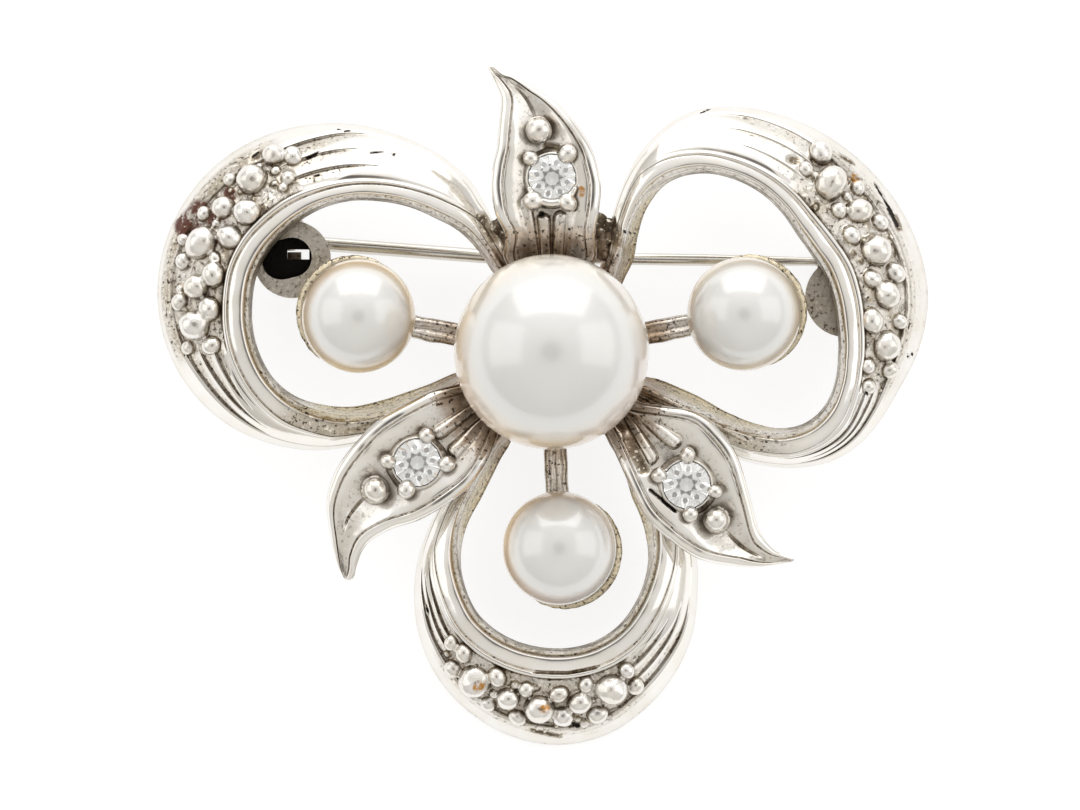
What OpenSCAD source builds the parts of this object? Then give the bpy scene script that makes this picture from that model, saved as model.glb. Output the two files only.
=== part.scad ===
// Flower brooch: three looped ribbon petals, three leaves, four pearls and three small cut stones,
// with a hinged pin and a catch on the back. Millimetres, at real size.
// The flower is drawn face up with the large pearl's axis at x = y = 0 and the petals' back near
// z = 0, and then leaned back as it lies by itself: on its hinge, its catch and the lower petal.

/* [Pearls] */
// Diameter of the large pearl in the middle
centre_pearl_d = 7.0; // [6.6:0.1:7.0]
// Height of the large pearl's middle above the petals' back
centre_pearl_h = 5.0; // [5:0.1:5.3]
// Diameter of each small pearl
small_pearl_d = 4.1; // [3.8:0.1:4.2]
// Height of each small pearl's middle above the petals' back
small_pearl_h = 3.3; // [3.2:0.1:3.6]
// Distance from the large pearl's middle to a small one's, seen from the front
small_pearl_reach = 7.05; // [6.9:0.05:7.2]
// Smallest gap between a pearl and the metal that holds it
pearl_gap = 0.05; // [0.04:0.01:0.08]

/* [Petals] */
// Height of a petal's smooth rail at its far end, above the back
crest_h = 3.0; // [2.8:0.1:3.2]
// Greatest width of the smooth rail along the opening
rail_w = 0.8; // [0.75:0.05:0.9]
// Width of the thin raised ridge outside the rail
ridge_w = 0.3; // [0.25:0.05:0.35]
// Greatest width of the polished border at the outer edge
border_w = 0.75; // [0.6:0.05:0.8]
// How far the ribbon's face falls towards the outer edge, for each millimetre of its width
fall = 0.6; // [0.5:0.05:0.65]
// Depth of the flutes on both sides of the beads
flute_d = 0.14; // [0.1:0.01:0.18]
// Depth of the bed that the beads stand in
bed_d = 0.2; // [0.15:0.01:0.25]
// Share of a bead's diameter by which its middle stands above the bed
bead_rise = 0.25; // [0.2:0.01:0.3]

/* [Leaves] */
// Thickness of a leaf
leaf_t = 0.8; // [0.7:0.05:0.9]
// Depth of the trough between a leaf's rims
trough_d = 0.45; // [0.35:0.05:0.5]
// Width of a leaf's raised rim
leaf_rim_w = 0.28; // [0.25:0.01:0.32]

/* [Cut stones] */
// Diameter of each cut stone
stone_d = 1.7; // [1.6:0.05:1.75]
// Diameter of each prong bead
prong_d = 0.56; // [0.5:0.02:0.6]

/* [Pin and findings] */
// Angle at which the brooch leans back as it lies
rest_tilt = 6.2; // [6:0.1:6.6]
// Diameter of the pin's straight outer stretch
pin_d = 0.44; // [0.4:0.02:0.46]
// Diameter of the pin between its eye and its bend
pin_root_d = 0.52; // [0.48:0.02:0.56]
// Diameter of the rivet that the pin turns on
rivet_d = 0.4; // [0.36:0.02:0.44]
// Radial play between the rivet and what it runs through
rivet_play = 0.03; // [0.02:0.01:0.05]
// Outer diameter of the hinge's round base
hinge_base_d = 2.8; // [2.7:0.05:3.1]
// Outer diameter of the catch's round base
catch_base_d = 2.9; // [2.8:0.05:3]

/* [Hidden] */

METAL = [0.80, 0.79, 0.77];
PEARL = [0.95, 0.93, 0.89];
STONE = [0.90, 0.95, 0.98];

// Petals. Each centre is [x, y]; each row of a petal's table is a section across its ribbon:
// [angle about the centre, radius of the opening, outer radius, foot that shows inside the rail,
// rail height as a share of crest_h, rail width and border width as shares of rail_w and border_w]
LEFT_CENTRE = [-7.23, 1.87];
LEFT_PETAL = [
    [0, 5.75, 6.70, 0.10, 0.58, 0.85, 0.3],
    [11, 5.22, 6.15, 0.12, 0.72, 0.85, 0.3],
    [21, 4.93, 5.90, 0.12, 0.80, 0.85, 0.3],
    [33, 4.62, 5.92, 0.10, 0.86, 0.85, 0.3],
    [45, 4.24, 6.10, 0.08, 0.91, 0.8, 0.3],
    [60, 3.95, 6.17, 0.06, 0.95, 0.7, 0.3],
    [75, 3.73, 6.23, 0.06, 0.98, 0.65, 0.3],
    [90, 3.61, 6.39, 0.06, 1, 0.6, 0.4],
    [105, 3.52, 6.57, 0.06, 1, 0.6, 0.7],
    [120, 3.45, 6.78, 0.06, 1, 0.7, 0.95],
    [135, 3.43, 6.95, 0.06, 1, 0.8, 0.95],
    [150, 3.48, 7.04, 0.06, 1, 0.9, 0.85],
    [165, 3.55, 7.07, 0.06, 1, 0.95, 0.65],
    [180, 3.59, 7.02, 0.06, 1, 0.95, 0.6],
    [195, 3.70, 6.88, 0.06, 1, 0.95, 0.7],
    [210, 3.84, 6.64, 0.06, 0.99, 0.95, 0.75],
    [225, 3.98, 6.33, 0.08, 0.97, 0.95, 0.6],
    [240, 4.00, 5.95, 0.14, 0.94, 1, 0.45],
    [255, 3.90, 5.60, 0.24, 0.90, 1, 0.35],
    [270, 3.83, 5.27, 0.34, 0.86, 1, 0.3],
    [285, 3.76, 5.08, 0.38, 0.82, 1, 0.3],
    [300, 3.84, 5.04, 0.38, 0.78, 1, 0.3],
    [312, 4.09, 5.16, 0.36, 0.74, 0.95, 0.3],
    [324, 4.50, 5.50, 0.30, 0.68, 0.9, 0.3],
    [334, 5.20, 6.10, 0.15, 0.58, 0.85, 0.3]];
RIGHT_CENTRE = [6.59, 2.05];
RIGHT_PETAL = [
    [-145, 4.70, 5.60, 0.15, 0.58, 0.9, 0.3],
    [-132, 4.06, 5.20, 0.34, 0.68, 0.95, 0.3],
    [-118, 3.84, 5.08, 0.38, 0.76, 1, 0.3],
    [-105, 3.91, 5.30, 0.38, 0.81, 1, 0.3],
    [-90, 4.31, 5.84, 0.34, 0.86, 1, 0.3],
    [-80, 4.70, 6.24, 0.26, 0.90, 0.95, 0.35],
    [-70, 5.10, 6.62, 0.18, 0.93, 0.95, 0.4],
    [-60, 5.28, 6.93, 0.12, 0.96, 0.9, 0.5],
    [-50, 5.16, 7.03, 0.08, 0.98, 0.9, 0.6],
    [-40, 4.80, 6.95, 0.06, 0.99, 0.85, 0.7],
    [-30, 4.36, 6.87, 0.06, 1, 0.85, 0.8],
    [-15, 3.86, 6.98, 0.06, 1, 0.85, 0.95],
    [0, 3.55, 7.04, 0.06, 1, 0.85, 1],
    [15, 3.34, 6.93, 0.06, 1, 0.85, 1],
    [30, 3.17, 6.81, 0.06, 1, 0.8, 1],
    [45, 3.20, 6.72, 0.06, 1, 0.75, 0.9],
    [60, 3.48, 6.71, 0.06, 1, 0.7, 0.7],
    [75, 3.84, 6.75, 0.06, 0.99, 0.65, 0.5],
    [90, 4.22, 6.83, 0.06, 0.97, 0.65, 0.35],
    [105, 4.58, 6.78, 0.08, 0.94, 0.7, 0.3],
    [120, 4.72, 6.30, 0.14, 0.90, 0.8, 0.3],
    [135, 4.45, 5.68, 0.30, 0.85, 0.9, 0.3],
    [148, 4.08, 5.22, 0.42, 0.80, 0.9, 0.3],
    [160, 3.85, 4.95, 0.44, 0.76, 0.9, 0.3],
    [170, 3.97, 4.98, 0.38, 0.72, 0.9, 0.3],
    [182, 4.25, 5.25, 0.25, 0.66, 0.85, 0.3],
    [190, 4.60, 5.60, 0.15, 0.58, 0.85, 0.3]];
LOWER_CENTRE = [0.20, -7.47];
LOWER_PETAL = [
    [105, 4.95, 5.90, 0.15, 0.58, 0.85, 0.35],
    [114, 4.38, 5.42, 0.36, 0.68, 0.9, 0.35],
    [128, 3.80, 4.92, 0.42, 0.76, 1, 0.35],
    [142, 3.50, 4.66, 0.40, 0.82, 1, 0.35],
    [162, 3.47, 4.72, 0.26, 0.88, 1, 0.35],
    [180, 3.48, 5.02, 0.12, 0.93, 1, 0.4],
    [198, 3.47, 5.42, 0.06, 0.97, 0.95, 0.5],
    [215, 3.47, 5.84, 0.06, 0.99, 0.95, 0.65],
    [228, 3.40, 6.15, 0.06, 1, 0.95, 0.75],
    [240, 3.33, 6.38, 0.06, 1, 0.95, 0.7],
    [255, 3.26, 6.62, 0.06, 1, 0.95, 0.8],
    [270, 3.24, 6.73, 0.06, 1, 0.95, 0.8],
    [285, 3.26, 6.62, 0.06, 1, 0.95, 0.75],
    [300, 3.28, 6.30, 0.06, 1, 0.95, 0.8],
    [315, 3.28, 5.96, 0.06, 0.99, 0.95, 0.7],
    [330, 3.25, 5.62, 0.06, 0.97, 0.95, 0.5],
    [345, 3.26, 5.25, 0.08, 0.94, 0.95, 0.4],
    [360, 3.30, 5.05, 0.14, 0.90, 1, 0.35],
    [378, 3.34, 4.80, 0.28, 0.85, 1, 0.35],
    [399, 3.50, 4.62, 0.42, 0.80, 1, 0.35],
    [412, 3.95, 5.05, 0.40, 0.74, 1, 0.35],
    [425, 4.54, 5.60, 0.30, 0.66, 0.9, 0.35],
    [434, 5.10, 6.10, 0.15, 0.58, 0.85, 0.35]];

// Where the beads lie along each petal: [first angle, last angle]
LEFT_BEADED = [112, 203];
RIGHT_BEADED = [-38, 64];
LOWER_BEADED = [214, 308];

// Beads in a petal's bed: [angle about the petal's centre, radius from it, diameter]
LEFT_BEADS = [
    [118, 5.90, 0.85], [112, 5.55, 0.70], [117, 4.95, 0.55], [129.5, 5.60, 1.10],
    [135, 6.15, 0.55], [139.5, 4.90, 0.95], [144, 5.65, 0.85], [149.5, 6.15, 0.55],
    [159, 5.75, 1.10], [152.5, 4.95, 0.85], [160, 6.42, 0.50], [167, 6.20, 0.60],
    [163, 5.10, 0.50], [169.5, 5.05, 0.85], [175, 5.60, 0.90], [180.5, 6.15, 0.65],
    [183.5, 5.10, 0.80], [189, 5.70, 1.05], [196, 6.10, 0.55], [198, 5.25, 0.70]];
RIGHT_BEADS = [
    [59, 6.00, 0.85], [60.5, 5.20, 0.60], [49, 5.30, 1.10], [41, 5.90, 0.60],
    [39, 4.85, 0.60], [34, 5.40, 0.90], [26.5, 5.85, 0.60], [27, 4.75, 0.65],
    [17, 5.35, 1.10], [8, 5.85, 0.70], [6.5, 5.00, 0.65], [0, 5.50, 0.95],
    [-10.5, 5.05, 0.80], [-9, 6.00, 0.60], [-18.5, 5.80, 1.10], [-25.5, 6.20, 0.65],
    [-28, 5.45, 0.55], [-34.5, 5.85, 0.55]];
LOWER_BEADS = [
    [218, 4.85, 0.55], [225, 4.75, 0.65], [226.5, 5.40, 0.70], [235.5, 5.25, 1.10],
    [243, 4.75, 0.65], [244.5, 5.75, 0.60], [250.5, 5.30, 0.80], [256.5, 4.80, 0.60],
    [256, 5.85, 0.65], [263.5, 5.40, 1.10], [271, 4.85, 0.60], [272.5, 5.65, 0.80],
    [279, 5.20, 0.80], [283, 4.60, 0.55], [285, 5.75, 0.75], [292.5, 5.05, 1.10],
    [302, 4.70, 0.60], [301.5, 5.35, 0.70]];

// Leaves. Each lies along an axis from the large pearl's middle; a row is a section across it:
// [distance along, right edge, left edge, height of the rims], left being the side that the
// axis has on its left hand
TOP_LEAF_ANGLE = 90;
TOP_LEAF = [
    [2.6, -1.20, 1.30, 2.30],
    [3.4, -1.62, 1.72, 2.95],
    [4.2, -1.58, 1.68, 3.40],
    [5.0, -1.70, 2.03, 3.60],
    [5.9, -1.78, 2.17, 3.65],
    [6.6, -1.66, 2.12, 3.65],
    [7.4, -1.41, 1.96, 3.60],
    [8.3, -0.83, 1.88, 3.50],
    [9.05, -0.10, 1.82, 3.35],
    [9.55, 0.66, 1.96, 3.20],
    [9.86, 1.24, 2.10, 3.12],
    [9.98, 1.66, 2.16, 3.10],
    [10.27, 2.06, 2.30, 3.05]];
LEFT_LEAF_ANGLE = 220;
LEFT_LEAF = [
    [2.6, -1.00, 0.70, 2.30],
    [3.3, -1.28, 1.00, 2.85],
    [4.2, -1.70, 1.48, 3.35],
    [5.25, -1.97, 1.80, 3.55],
    [6.4, -2.13, 1.77, 3.60],
    [7.5, -2.03, 1.58, 3.50],
    [8.5, -1.80, 1.18, 3.30],
    [9.3, -1.39, 1.03, 3.10],
    [9.8, -0.93, 1.10, 2.95],
    [10.3, -0.17, 1.38, 2.80],
    [10.6, 0.38, 1.60, 2.74],
    [10.83, 0.90, 1.64, 2.70],
    [10.95, 1.36, 1.50, 2.68]];
RIGHT_LEAF_ANGLE = 319;
RIGHT_LEAF = [
    [2.6, -0.75, 0.55, 2.30],
    [3.5, -1.00, 0.70, 2.95],
    [4.4, -1.38, 1.25, 3.40],
    [5.4, -1.85, 1.82, 3.55],
    [6.4, -2.24, 1.85, 3.60],
    [7.5, -2.32, 1.56, 3.55],
    [8.8, -2.16, 0.76, 3.40],
    [9.8, -1.65, 0.10, 3.20],
    [10.6, -1.05, -0.10, 3.05],
    [11.1, -0.50, -0.02, 2.95],
    [11.5, 0.00, 0.12, 2.90]];

// Leaf's profile: its rims' drop at the edge and their most share of the width, the step inside
// them, the trough's slopes, the width at which a leaf is of full depth, and its underside
LEAF_EDGE_DROP = 0.12;
LEAF_RIM_MOST = 0.3;
LEAF_STEP = 0.1;
LEAF_SLOPE_SHARE = 0.15;
LEAF_DIP_SHARE = 0.8;
LEAF_FULL_W = 1.7;
LEAF_THIN = 0.45;
LEAF_TUCK = 0.1;
LEAF_SIDE_SHARE = 0.7;

// Cut stones and the bead beyond each: [x, y], and the prong beads' angles round the stone
TOP_STONE = [0.02, 6.25];
TOP_PRONGS = [58, 137, 230, 302];
TOP_LEAF_BEAD = [-0.45, 7.97, 0.95];
LEFT_STONE = [-4.83, -3.98];
LEFT_PRONGS = [-2, 70, 178, 249];
LEFT_LEAF_BEAD = [-6.34, -4.95, 0.90];
RIGHT_STONE = [4.86, -4.77];
RIGHT_PRONGS = [-82, -14, 88, 161];
RIGHT_LEAF_BEAD = [5.94, -6.03, 0.86];
STONE_BEAD_H = 3.45;

// Small pearls: direction from the large one, and where each cup's rim stands proud of its pearl
LEFT_PEARL_ANGLE = 169.5;
LEFT_CUP_LEAN = 145;
RIGHT_PEARL_ANGLE = 11.2;
RIGHT_CUP_LEAN = 20;
LOWER_PEARL_ANGLE = 272.3;
LOWER_CUP_LEAN = -35;
CUP_WALL = 0.3;
CUP_LEAN = 0.16;
CUP_RIM_BELOW = 0.9;

// Sections along a petal, and sides of the round parts of the frame
PETAL_STEPS = 23;
FIELD_POINTS = 5;
BEAD_SIDES = 10;
SMALL_BEAD_SIDES = 8;
SMALL_BEAD = 1.0;
PEG_SHARE = 0.6;
PEG_FOOT_H = 0.05;
CUP_SIDES = 16;
BOSS_SIDES = 24;
SEAT_SIDES = 12;

// How far joined shapes reach into each other, and how far cuts that meet overlap
SUNK = 0.1;
OVERLAP = 0.0001;

// Ribbon's face: the rail's profile as [share of its width, drop below its crest], the most that the
// rail, the ridge and the border take of the width, the ridge's share where the border is narrowest,
// and the small steps of the profile
RAIL_PROFILE = [[0, 0.42], [0.12, 0.12], [0.38, 0], [0.74, 0.06]];
RAIL_MOST = 0.62;
RIDGE_MOST = 0.3;
RIDGE_LEAST = 0.4;
BORDER_MOST = 0.35;
GROOVE_D = 0.12;
GROOVE_LEAST = 0.06;
RIDGE_UP = 0.05;
FIELD_STEP = 0.08;
BORDER_CREST_AT = 0.6;
EDGE_DROP = 0.12;
EDGE_BEVEL = 0.06;

// Ribbon widths, without its foot, at which it starts to spread and is a whole ribbon
NARROW = 1.1;
SPREAD = 1.6;

// Ribbon's underside: heights of the inner foot and of the outer edge, its walls and its hollow
INNER_BACK = 0.5;
OUTER_BACK = 0;
OUTER_WALL = 0.45;
WALL_MOST = 0.4;
HOLLOW_SHARE = 0.45;
HOLLOW_EDGE_SHARE = 0.7;
HOLLOW_SLANT = 0.1;

// Angles over which the bead bed and the flutes fade in and out
BED_FADE = 8;
FLUTE_FADE = 36;
FLUTE_REACH = 42;

// Boss under the large pearl, and the stems to the small ones, which start inside its edge
BOSS_R = 2.75;
BOSS_FLARE = 0.4;
BOSS_BOTTOM = 0.7;
BOSS_TOP = 2.35;
STEM_W = 0.8;
STEM_TOP = 2.0;
STEM_H = 0.75;
STEM_SUNK = 0.6;

// Setting of a cut stone: its seat, its collar, the stone's own heights and the prongs' reach
SEAT_GAP = 0.05;
COLLAR_T = 0.2;
COLLAR_H = 0.9;
COLLAR_FLARE = 0.1;
COLLAR_BELOW = 0.02;
SEAT_FLOOR_R = 0.05;
GIRDLE_H = 3.55;
GIRDLE_T = 0.06;
CROWN_H = 0.27;
PAVILION_H = 0.66;
TABLE_SHARE = 0.56;
STAR_SHARE = 0.8;
STAR_H_SHARE = 0.55;
CULET_R = 0.02;
FACET_T = 0.01;
PRONG_REACH = 0.3;

// Hinge: its base's middle, the hollow and the window from there, the rivet's place, the eye of the
// pin and the ears beside it
HINGE_BASE = [-9.39, 3.37];
HINGE_TOP = INNER_BACK;
HINGE_BOTTOM = -0.45;
HINGE_FLOOR_T = 0.3;
HINGE_HOLLOW_AT = [-0.2, 0.03];
HINGE_HOLLOW_R = 0.72;
HINGE_HOLLOW_REACH = 0.2;
HINGE_HOLLOW_TURN = 13;
HINGE_WINDOW = [0.8, 0.36];
HINGE_WINDOW_AT = [0.21, 0.19];
RIVET_AT = [-9.8, 4.06, -1.1];
EYE_R = 0.5;
EYE_W = 0.7;
EYE_GAP = 0.05;
EAR_T = 0.36;
RIVET_HEAD_R = 0.34;
RIVET_HEAD_T = 0.14;
RIVET_END_PLAY = 0.02;
EAR_NECK_SHARE = 0.9;

// Pin: the places of its bend and its tip seen from the front, and its taper; the thin stretch
// starts the sunk length inside the root's end
PIN_BEND = [-2.0, 3.47];
PIN_TIP = [11.3, 3.29];
PIN_TAPER_FROM = 7.6;
PIN_NECK_AT = 12.0;
PIN_NECK_D = 0.3;
PIN_TIP_D = 0.08;
PIN_SUNK = 0.3;
PIN_ROOT_FROM = 0.2;

// Catch: its base's middle, its hook's stretch along the pin, its bore and its mouth
CATCH_BASE = [10.64, 2.01];
CATCH_BASE_T = 0.35;
CATCH_FROM = 9.65;
CATCH_TO = 10.85;
CATCH_BORE_R = 0.36;
CATCH_MOUTH = 0.5;
CATCH_NECK_W = 0.75;

// The brooch as it lies: a point of the leaned flower, its lowest edge and the middle of its box
function leaned(p) = [p.x, p.y * cos(rest_tilt) - p.z * sin(rest_tilt),
    p.y * sin(rest_tilt) + p.z * cos(rest_tilt)];
LOWER_POINTS = petal_points(LOWER_CENTRE, LOWER_PETAL, LOWER_BEADED);
LEFT_POINTS = petal_points(LEFT_CENTRE, LEFT_PETAL, LEFT_BEADED);
RIGHT_POINTS = petal_points(RIGHT_CENTRE, RIGHT_PETAL, RIGHT_BEADED);
LOWEST = min([for (p = LOWER_POINTS) leaned(p).z]);
TIP = TOP_LEAF[len(TOP_LEAF) - 1];
BOX_MIDDLE = [
    (min([for (p = LEFT_POINTS) p.x]) + max([for (p = RIGHT_POINTS) p.x])) / 2,
    (min([for (p = LOWER_POINTS) leaned(p).y]) + leaned([0, TIP[0], TIP[3]]).y) / 2];

// The hinge's ears and the catch's hook reach down to the same surface as the lower petal
EAR_LOW_Y = RIVET_AT.y - EYE_W / 2 - EYE_GAP - EAR_T;
EAR_R = RIVET_AT.z - (LOWEST - EAR_LOW_Y * sin(rest_tilt)) / cos(rest_tilt);
LIP_Y = pin_y((CATCH_FROM + CATCH_TO) / 2) - CATCH_MOUTH / 2;
LIP_DROP = RIVET_AT.z - (LOWEST - LIP_Y * sin(rest_tilt)) / cos(rest_tilt);
HOOK_R = norm([LIP_DROP, CATCH_MOUTH / 2]);

// Height of the pin's line in y at a place x beyond its bend
function pin_y(x) = PIN_BEND.y
    + (PIN_TIP.y - PIN_BEND.y) * (x - PIN_BEND.x) / (PIN_TIP.x - PIN_BEND.x);

function clamp01(t) = max(0, min(1, t));
function ease(t) = clamp01(t) * clamp01(t) * (3 - 2 * clamp01(t));

// A smooth curve through four rows of a table, between the second and the third
function through(a, b, c, d, t) = (2 * b + (c - a) * t + (2 * a - 5 * b + 4 * c - d) * t * t
    + (3 * b - a - 3 * c + d) * t * t * t) / 2;
function row_before(table, at, i = 0) =
    (i >= len(table) - 2 || at < table[i + 1][0]) ? i : row_before(table, at, i + 1);
function row_at(table, at) =
    let (i = row_before(table, at), last = len(table) - 1,
        t = (at - table[i][0]) / (table[i + 1][0] - table[i][0]))
    through(table[max(i - 1, 0)], table[i], table[i + 1], table[min(i + 2, last)], t);

// How much of the bead bed (1 inside, 0 outside) and of the flutes there is at an angle
function bed_at(beaded, a) =
    ease((a - beaded[0]) / BED_FADE) * ease((beaded[1] - a) / BED_FADE);
function flutes_at(beaded, a) = (1 - bed_at(beaded, a))
    * ease((a - beaded[0] + FLUTE_REACH) / FLUTE_FADE)
    * ease((beaded[1] + FLUTE_REACH - a) / FLUTE_FADE);

// Width of the rail on a row of a petal's table
function rail_at(row) = min(rail_w * row[5], RAIL_MOST * (row[2] - row[1] - row[3]));

// Height of a ribbon's plain face at a radius: level over the rail, then falling outwards
function face_z(row, r) =
    let (r0 = row[1] + row[3], from = r0 + RAIL_PROFILE[2][0] * rail_at(row),
        t = max(0, r - from) / (row[2] - from))
    row[4] * crest_h - fall * (row[2] - r0) * t * t;

// One section across a ribbon as [radius, height] points: foot, rail, ridge, field, border, back
function ribbon_section(row, bed, flutes) =
    let (ri = row[1], ro = row[2], r0 = ri + row[3], w = ro - r0, crest = row[4] * crest_h,
        rail = rail_at(row),
        ridge = min(ridge_w, RIDGE_MOST * (w - rail)) * (RIDGE_LEAST + (1 - RIDGE_LEAST) * row[6]),
        ridge_top = r0 + rail + ridge / 2,
        f0 = r0 + rail + ridge, f1 = ro - min(border_w * row[6], BORDER_MOST * (ro - f0)),
        border_top = f1 + BORDER_CREST_AT * (ro - f1),
        broad = ease((w - NARROW) / SPREAD), low = OUTER_BACK + (1 - broad) * INNER_BACK,
        wall = min(OUTER_WALL, WALL_MOST * w),
        hollow = HOLLOW_SHARE * broad * crest)
    concat(
        [[ri, INNER_BACK]],
        [for (p = RAIL_PROFILE) [r0 + p[0] * rail, crest - p[1]]],
        [[r0 + rail, face_z(row, r0 + rail) - GROOVE_LEAST - GROOVE_D * broad],
        [ridge_top, face_z(row, ridge_top) + RIDGE_UP * broad],
        [f0, face_z(row, f0) - FIELD_STEP * broad - bed_d * bed]],
        [for (k = [1:FIELD_POINTS])
            let (r = f0 + (f1 - f0) * k / (FIELD_POINTS + 1))
            [r, face_z(row, r) - bed_d * bed - flute_d * flutes * (k % 2)]],
        [[f1, face_z(row, f1)],
        [border_top, face_z(row, border_top)],
        [ro, face_z(row, ro) - EDGE_DROP],
        [ro - EDGE_BEVEL, low],
        [ro - wall, low],
        [ro - wall - HOLLOW_SLANT * w, low + hollow * HOLLOW_EDGE_SHARE],
        [r0 + rail / 2 + HOLLOW_SLANT * w, INNER_BACK + hollow],
        [r0 + rail / 2, INNER_BACK]]);

function petal_points(centre, table, beaded) =
    let (first = table[0][0], last = table[len(table) - 1][0])
    [for (s = [0:PETAL_STEPS])
        let (a = first + (last - first) * s / PETAL_STEPS,
            section = ribbon_section(row_at(table, a), bed_at(beaded, a), flutes_at(beaded, a)))
        for (q = section) [centre.x + q[0] * cos(a), centre.y + q[0] * sin(a), q[1]]];

// A closed solid through rings of points, each with n points
module skin(points, n) {
    rings = len(points) / n;
    polyhedron(points, concat(
        [[for (k = [0:n - 1]) k]],
        [for (s = [0:rings - 2], k = [0:n - 1])
            let (a = s * n + k, b = s * n + (k + 1) % n)
            each [[a, a + n, b], [b, a + n, b + n]]],
        [[for (k = [n - 1:-1:0]) (rings - 1) * n + k]]));
}

// A bead on a short peg that holds it in the metal
module bead(d) {
    hull() {
        sphere(d = d, $fn = d < SMALL_BEAD ? SMALL_BEAD_SIDES : BEAD_SIDES);
        translate([0, 0, -d * PEG_SHARE]) cylinder(d = d * PEG_SHARE, h = PEG_FOOT_H, $fn = 5);
    }
}

module petal(centre, table, beaded, points, beads) {
    skin(points, len(ribbon_section(table[0], 0, 0)));
    for (b = beads) {
        row = row_at(table, b[0]);
        z = face_z(row, b[1]) - bed_d + b[2] * bead_rise;
        translate([centre.x + b[1] * cos(b[0]), centre.y + b[1] * sin(b[0]), z]) bead(b[2]);
    }
}

// One section across a leaf as [across, height]: rims, trough and underside
function leaf_section(row) =
    let (r = row[1], l = row[2], w = l - r, z = row[3], middle = (l + r) / 2,
        rim = min(leaf_rim_w, LEAF_RIM_MOST * w), step = LEAF_STEP * clamp01(w),
        dip = trough_d * clamp01(w / LEAF_FULL_W), slope = LEAF_SLOPE_SHARE * w,
        under = leaf_t * (LEAF_THIN + (1 - LEAF_THIN) * clamp01(w / LEAF_FULL_W)),
        tuck = LEAF_TUCK * w, side = z - LEAF_SIDE_SHARE * under)
    [[r, z - LEAF_EDGE_DROP], [r + rim / 2, z], [r + rim, z - step],
        [r + rim + slope, z - LEAF_DIP_SHARE * dip], [middle, z - dip],
        [l - rim - slope, z - LEAF_DIP_SHARE * dip],
        [l - rim, z - step], [l - rim / 2, z], [l, z - LEAF_EDGE_DROP],
        [l - tuck, side], [middle, z - LEAF_THIN * dip - under], [r + tuck, side]];

module leaf(angle, table) {
    n = len(leaf_section(table[0]));
    points = [for (row = table, k = [n - 1:-1:0]) let (q = leaf_section(row)[k])
        [row[0] * cos(angle) - q[0] * sin(angle), row[0] * sin(angle) + q[0] * cos(angle), q[1]]];
    skin(points, n);
}

// The collar that a cut stone stands in, without its seat
module collar(at) {
    r = stone_d / 2 + SEAT_GAP + COLLAR_T;
    translate([at.x, at.y, GIRDLE_H - COLLAR_H])
        cylinder(r1 = r + COLLAR_FLARE, r2 = r, h = COLLAR_H - COLLAR_BELOW, $fn = SEAT_SIDES);
}

// The hollow that a cut stone stands in: straight round its girdle and pointed below it
module seat(at) {
    r = stone_d / 2 + SEAT_GAP;
    translate([at.x, at.y, GIRDLE_H - GIRDLE_T]) cylinder(r = r, h = 1, $fn = SEAT_SIDES);
    translate([at.x, at.y, GIRDLE_H - GIRDLE_T - PAVILION_H - SEAT_GAP])
        cylinder(r1 = SEAT_FLOOR_R, r2 = r, h = PAVILION_H + SEAT_GAP + OVERLAP, $fn = SEAT_SIDES);
}

module prongs(at, angles) {
    reach = stone_d / 2 + PRONG_REACH;
    for (a = angles)
        translate([at.x + reach * cos(a), at.y + reach * sin(a), GIRDLE_H]) bead(prong_d);
}

// A leaf's own bead, between its stone and its tip
module leaf_bead(b) {
    translate([b.x, b.y, STONE_BEAD_H]) bead(b[2]);
}

function pearl_at(angle) = [small_pearl_reach * cos(angle), small_pearl_reach * sin(angle)];

// A small pearl's cup, whose rim stands proud on the side that it leans to, and its stem
module cup_body(angle, lean) {
    at = pearl_at(angle) + CUP_LEAN * [cos(lean), sin(lean)];
    r = small_pearl_d / 2 + pearl_gap + CUP_WALL;
    intersection() {
        translate([at.x, at.y, small_pearl_h]) sphere(r = r, $fn = CUP_SIDES);
        translate([at.x, at.y, small_pearl_h - CUP_RIM_BELOW - r]) cylinder(r = r + 1, h = r, $fn = 4);
    }
    rotate([0, 0, angle]) translate([BOSS_R - STEM_SUNK, -STEM_W / 2, STEM_TOP - STEM_H])
        cube([small_pearl_reach - BOSS_R, STEM_W, STEM_H]);
}

// The hollow for a pearl, whose flat sides stay the gap away from it
module pearl_space(at, d, h, sides) {
    translate([at.x, at.y, h]) sphere(r = (d / 2 + pearl_gap) / cos(180 / sides) ^ 2, $fn = sides);
}

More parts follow.
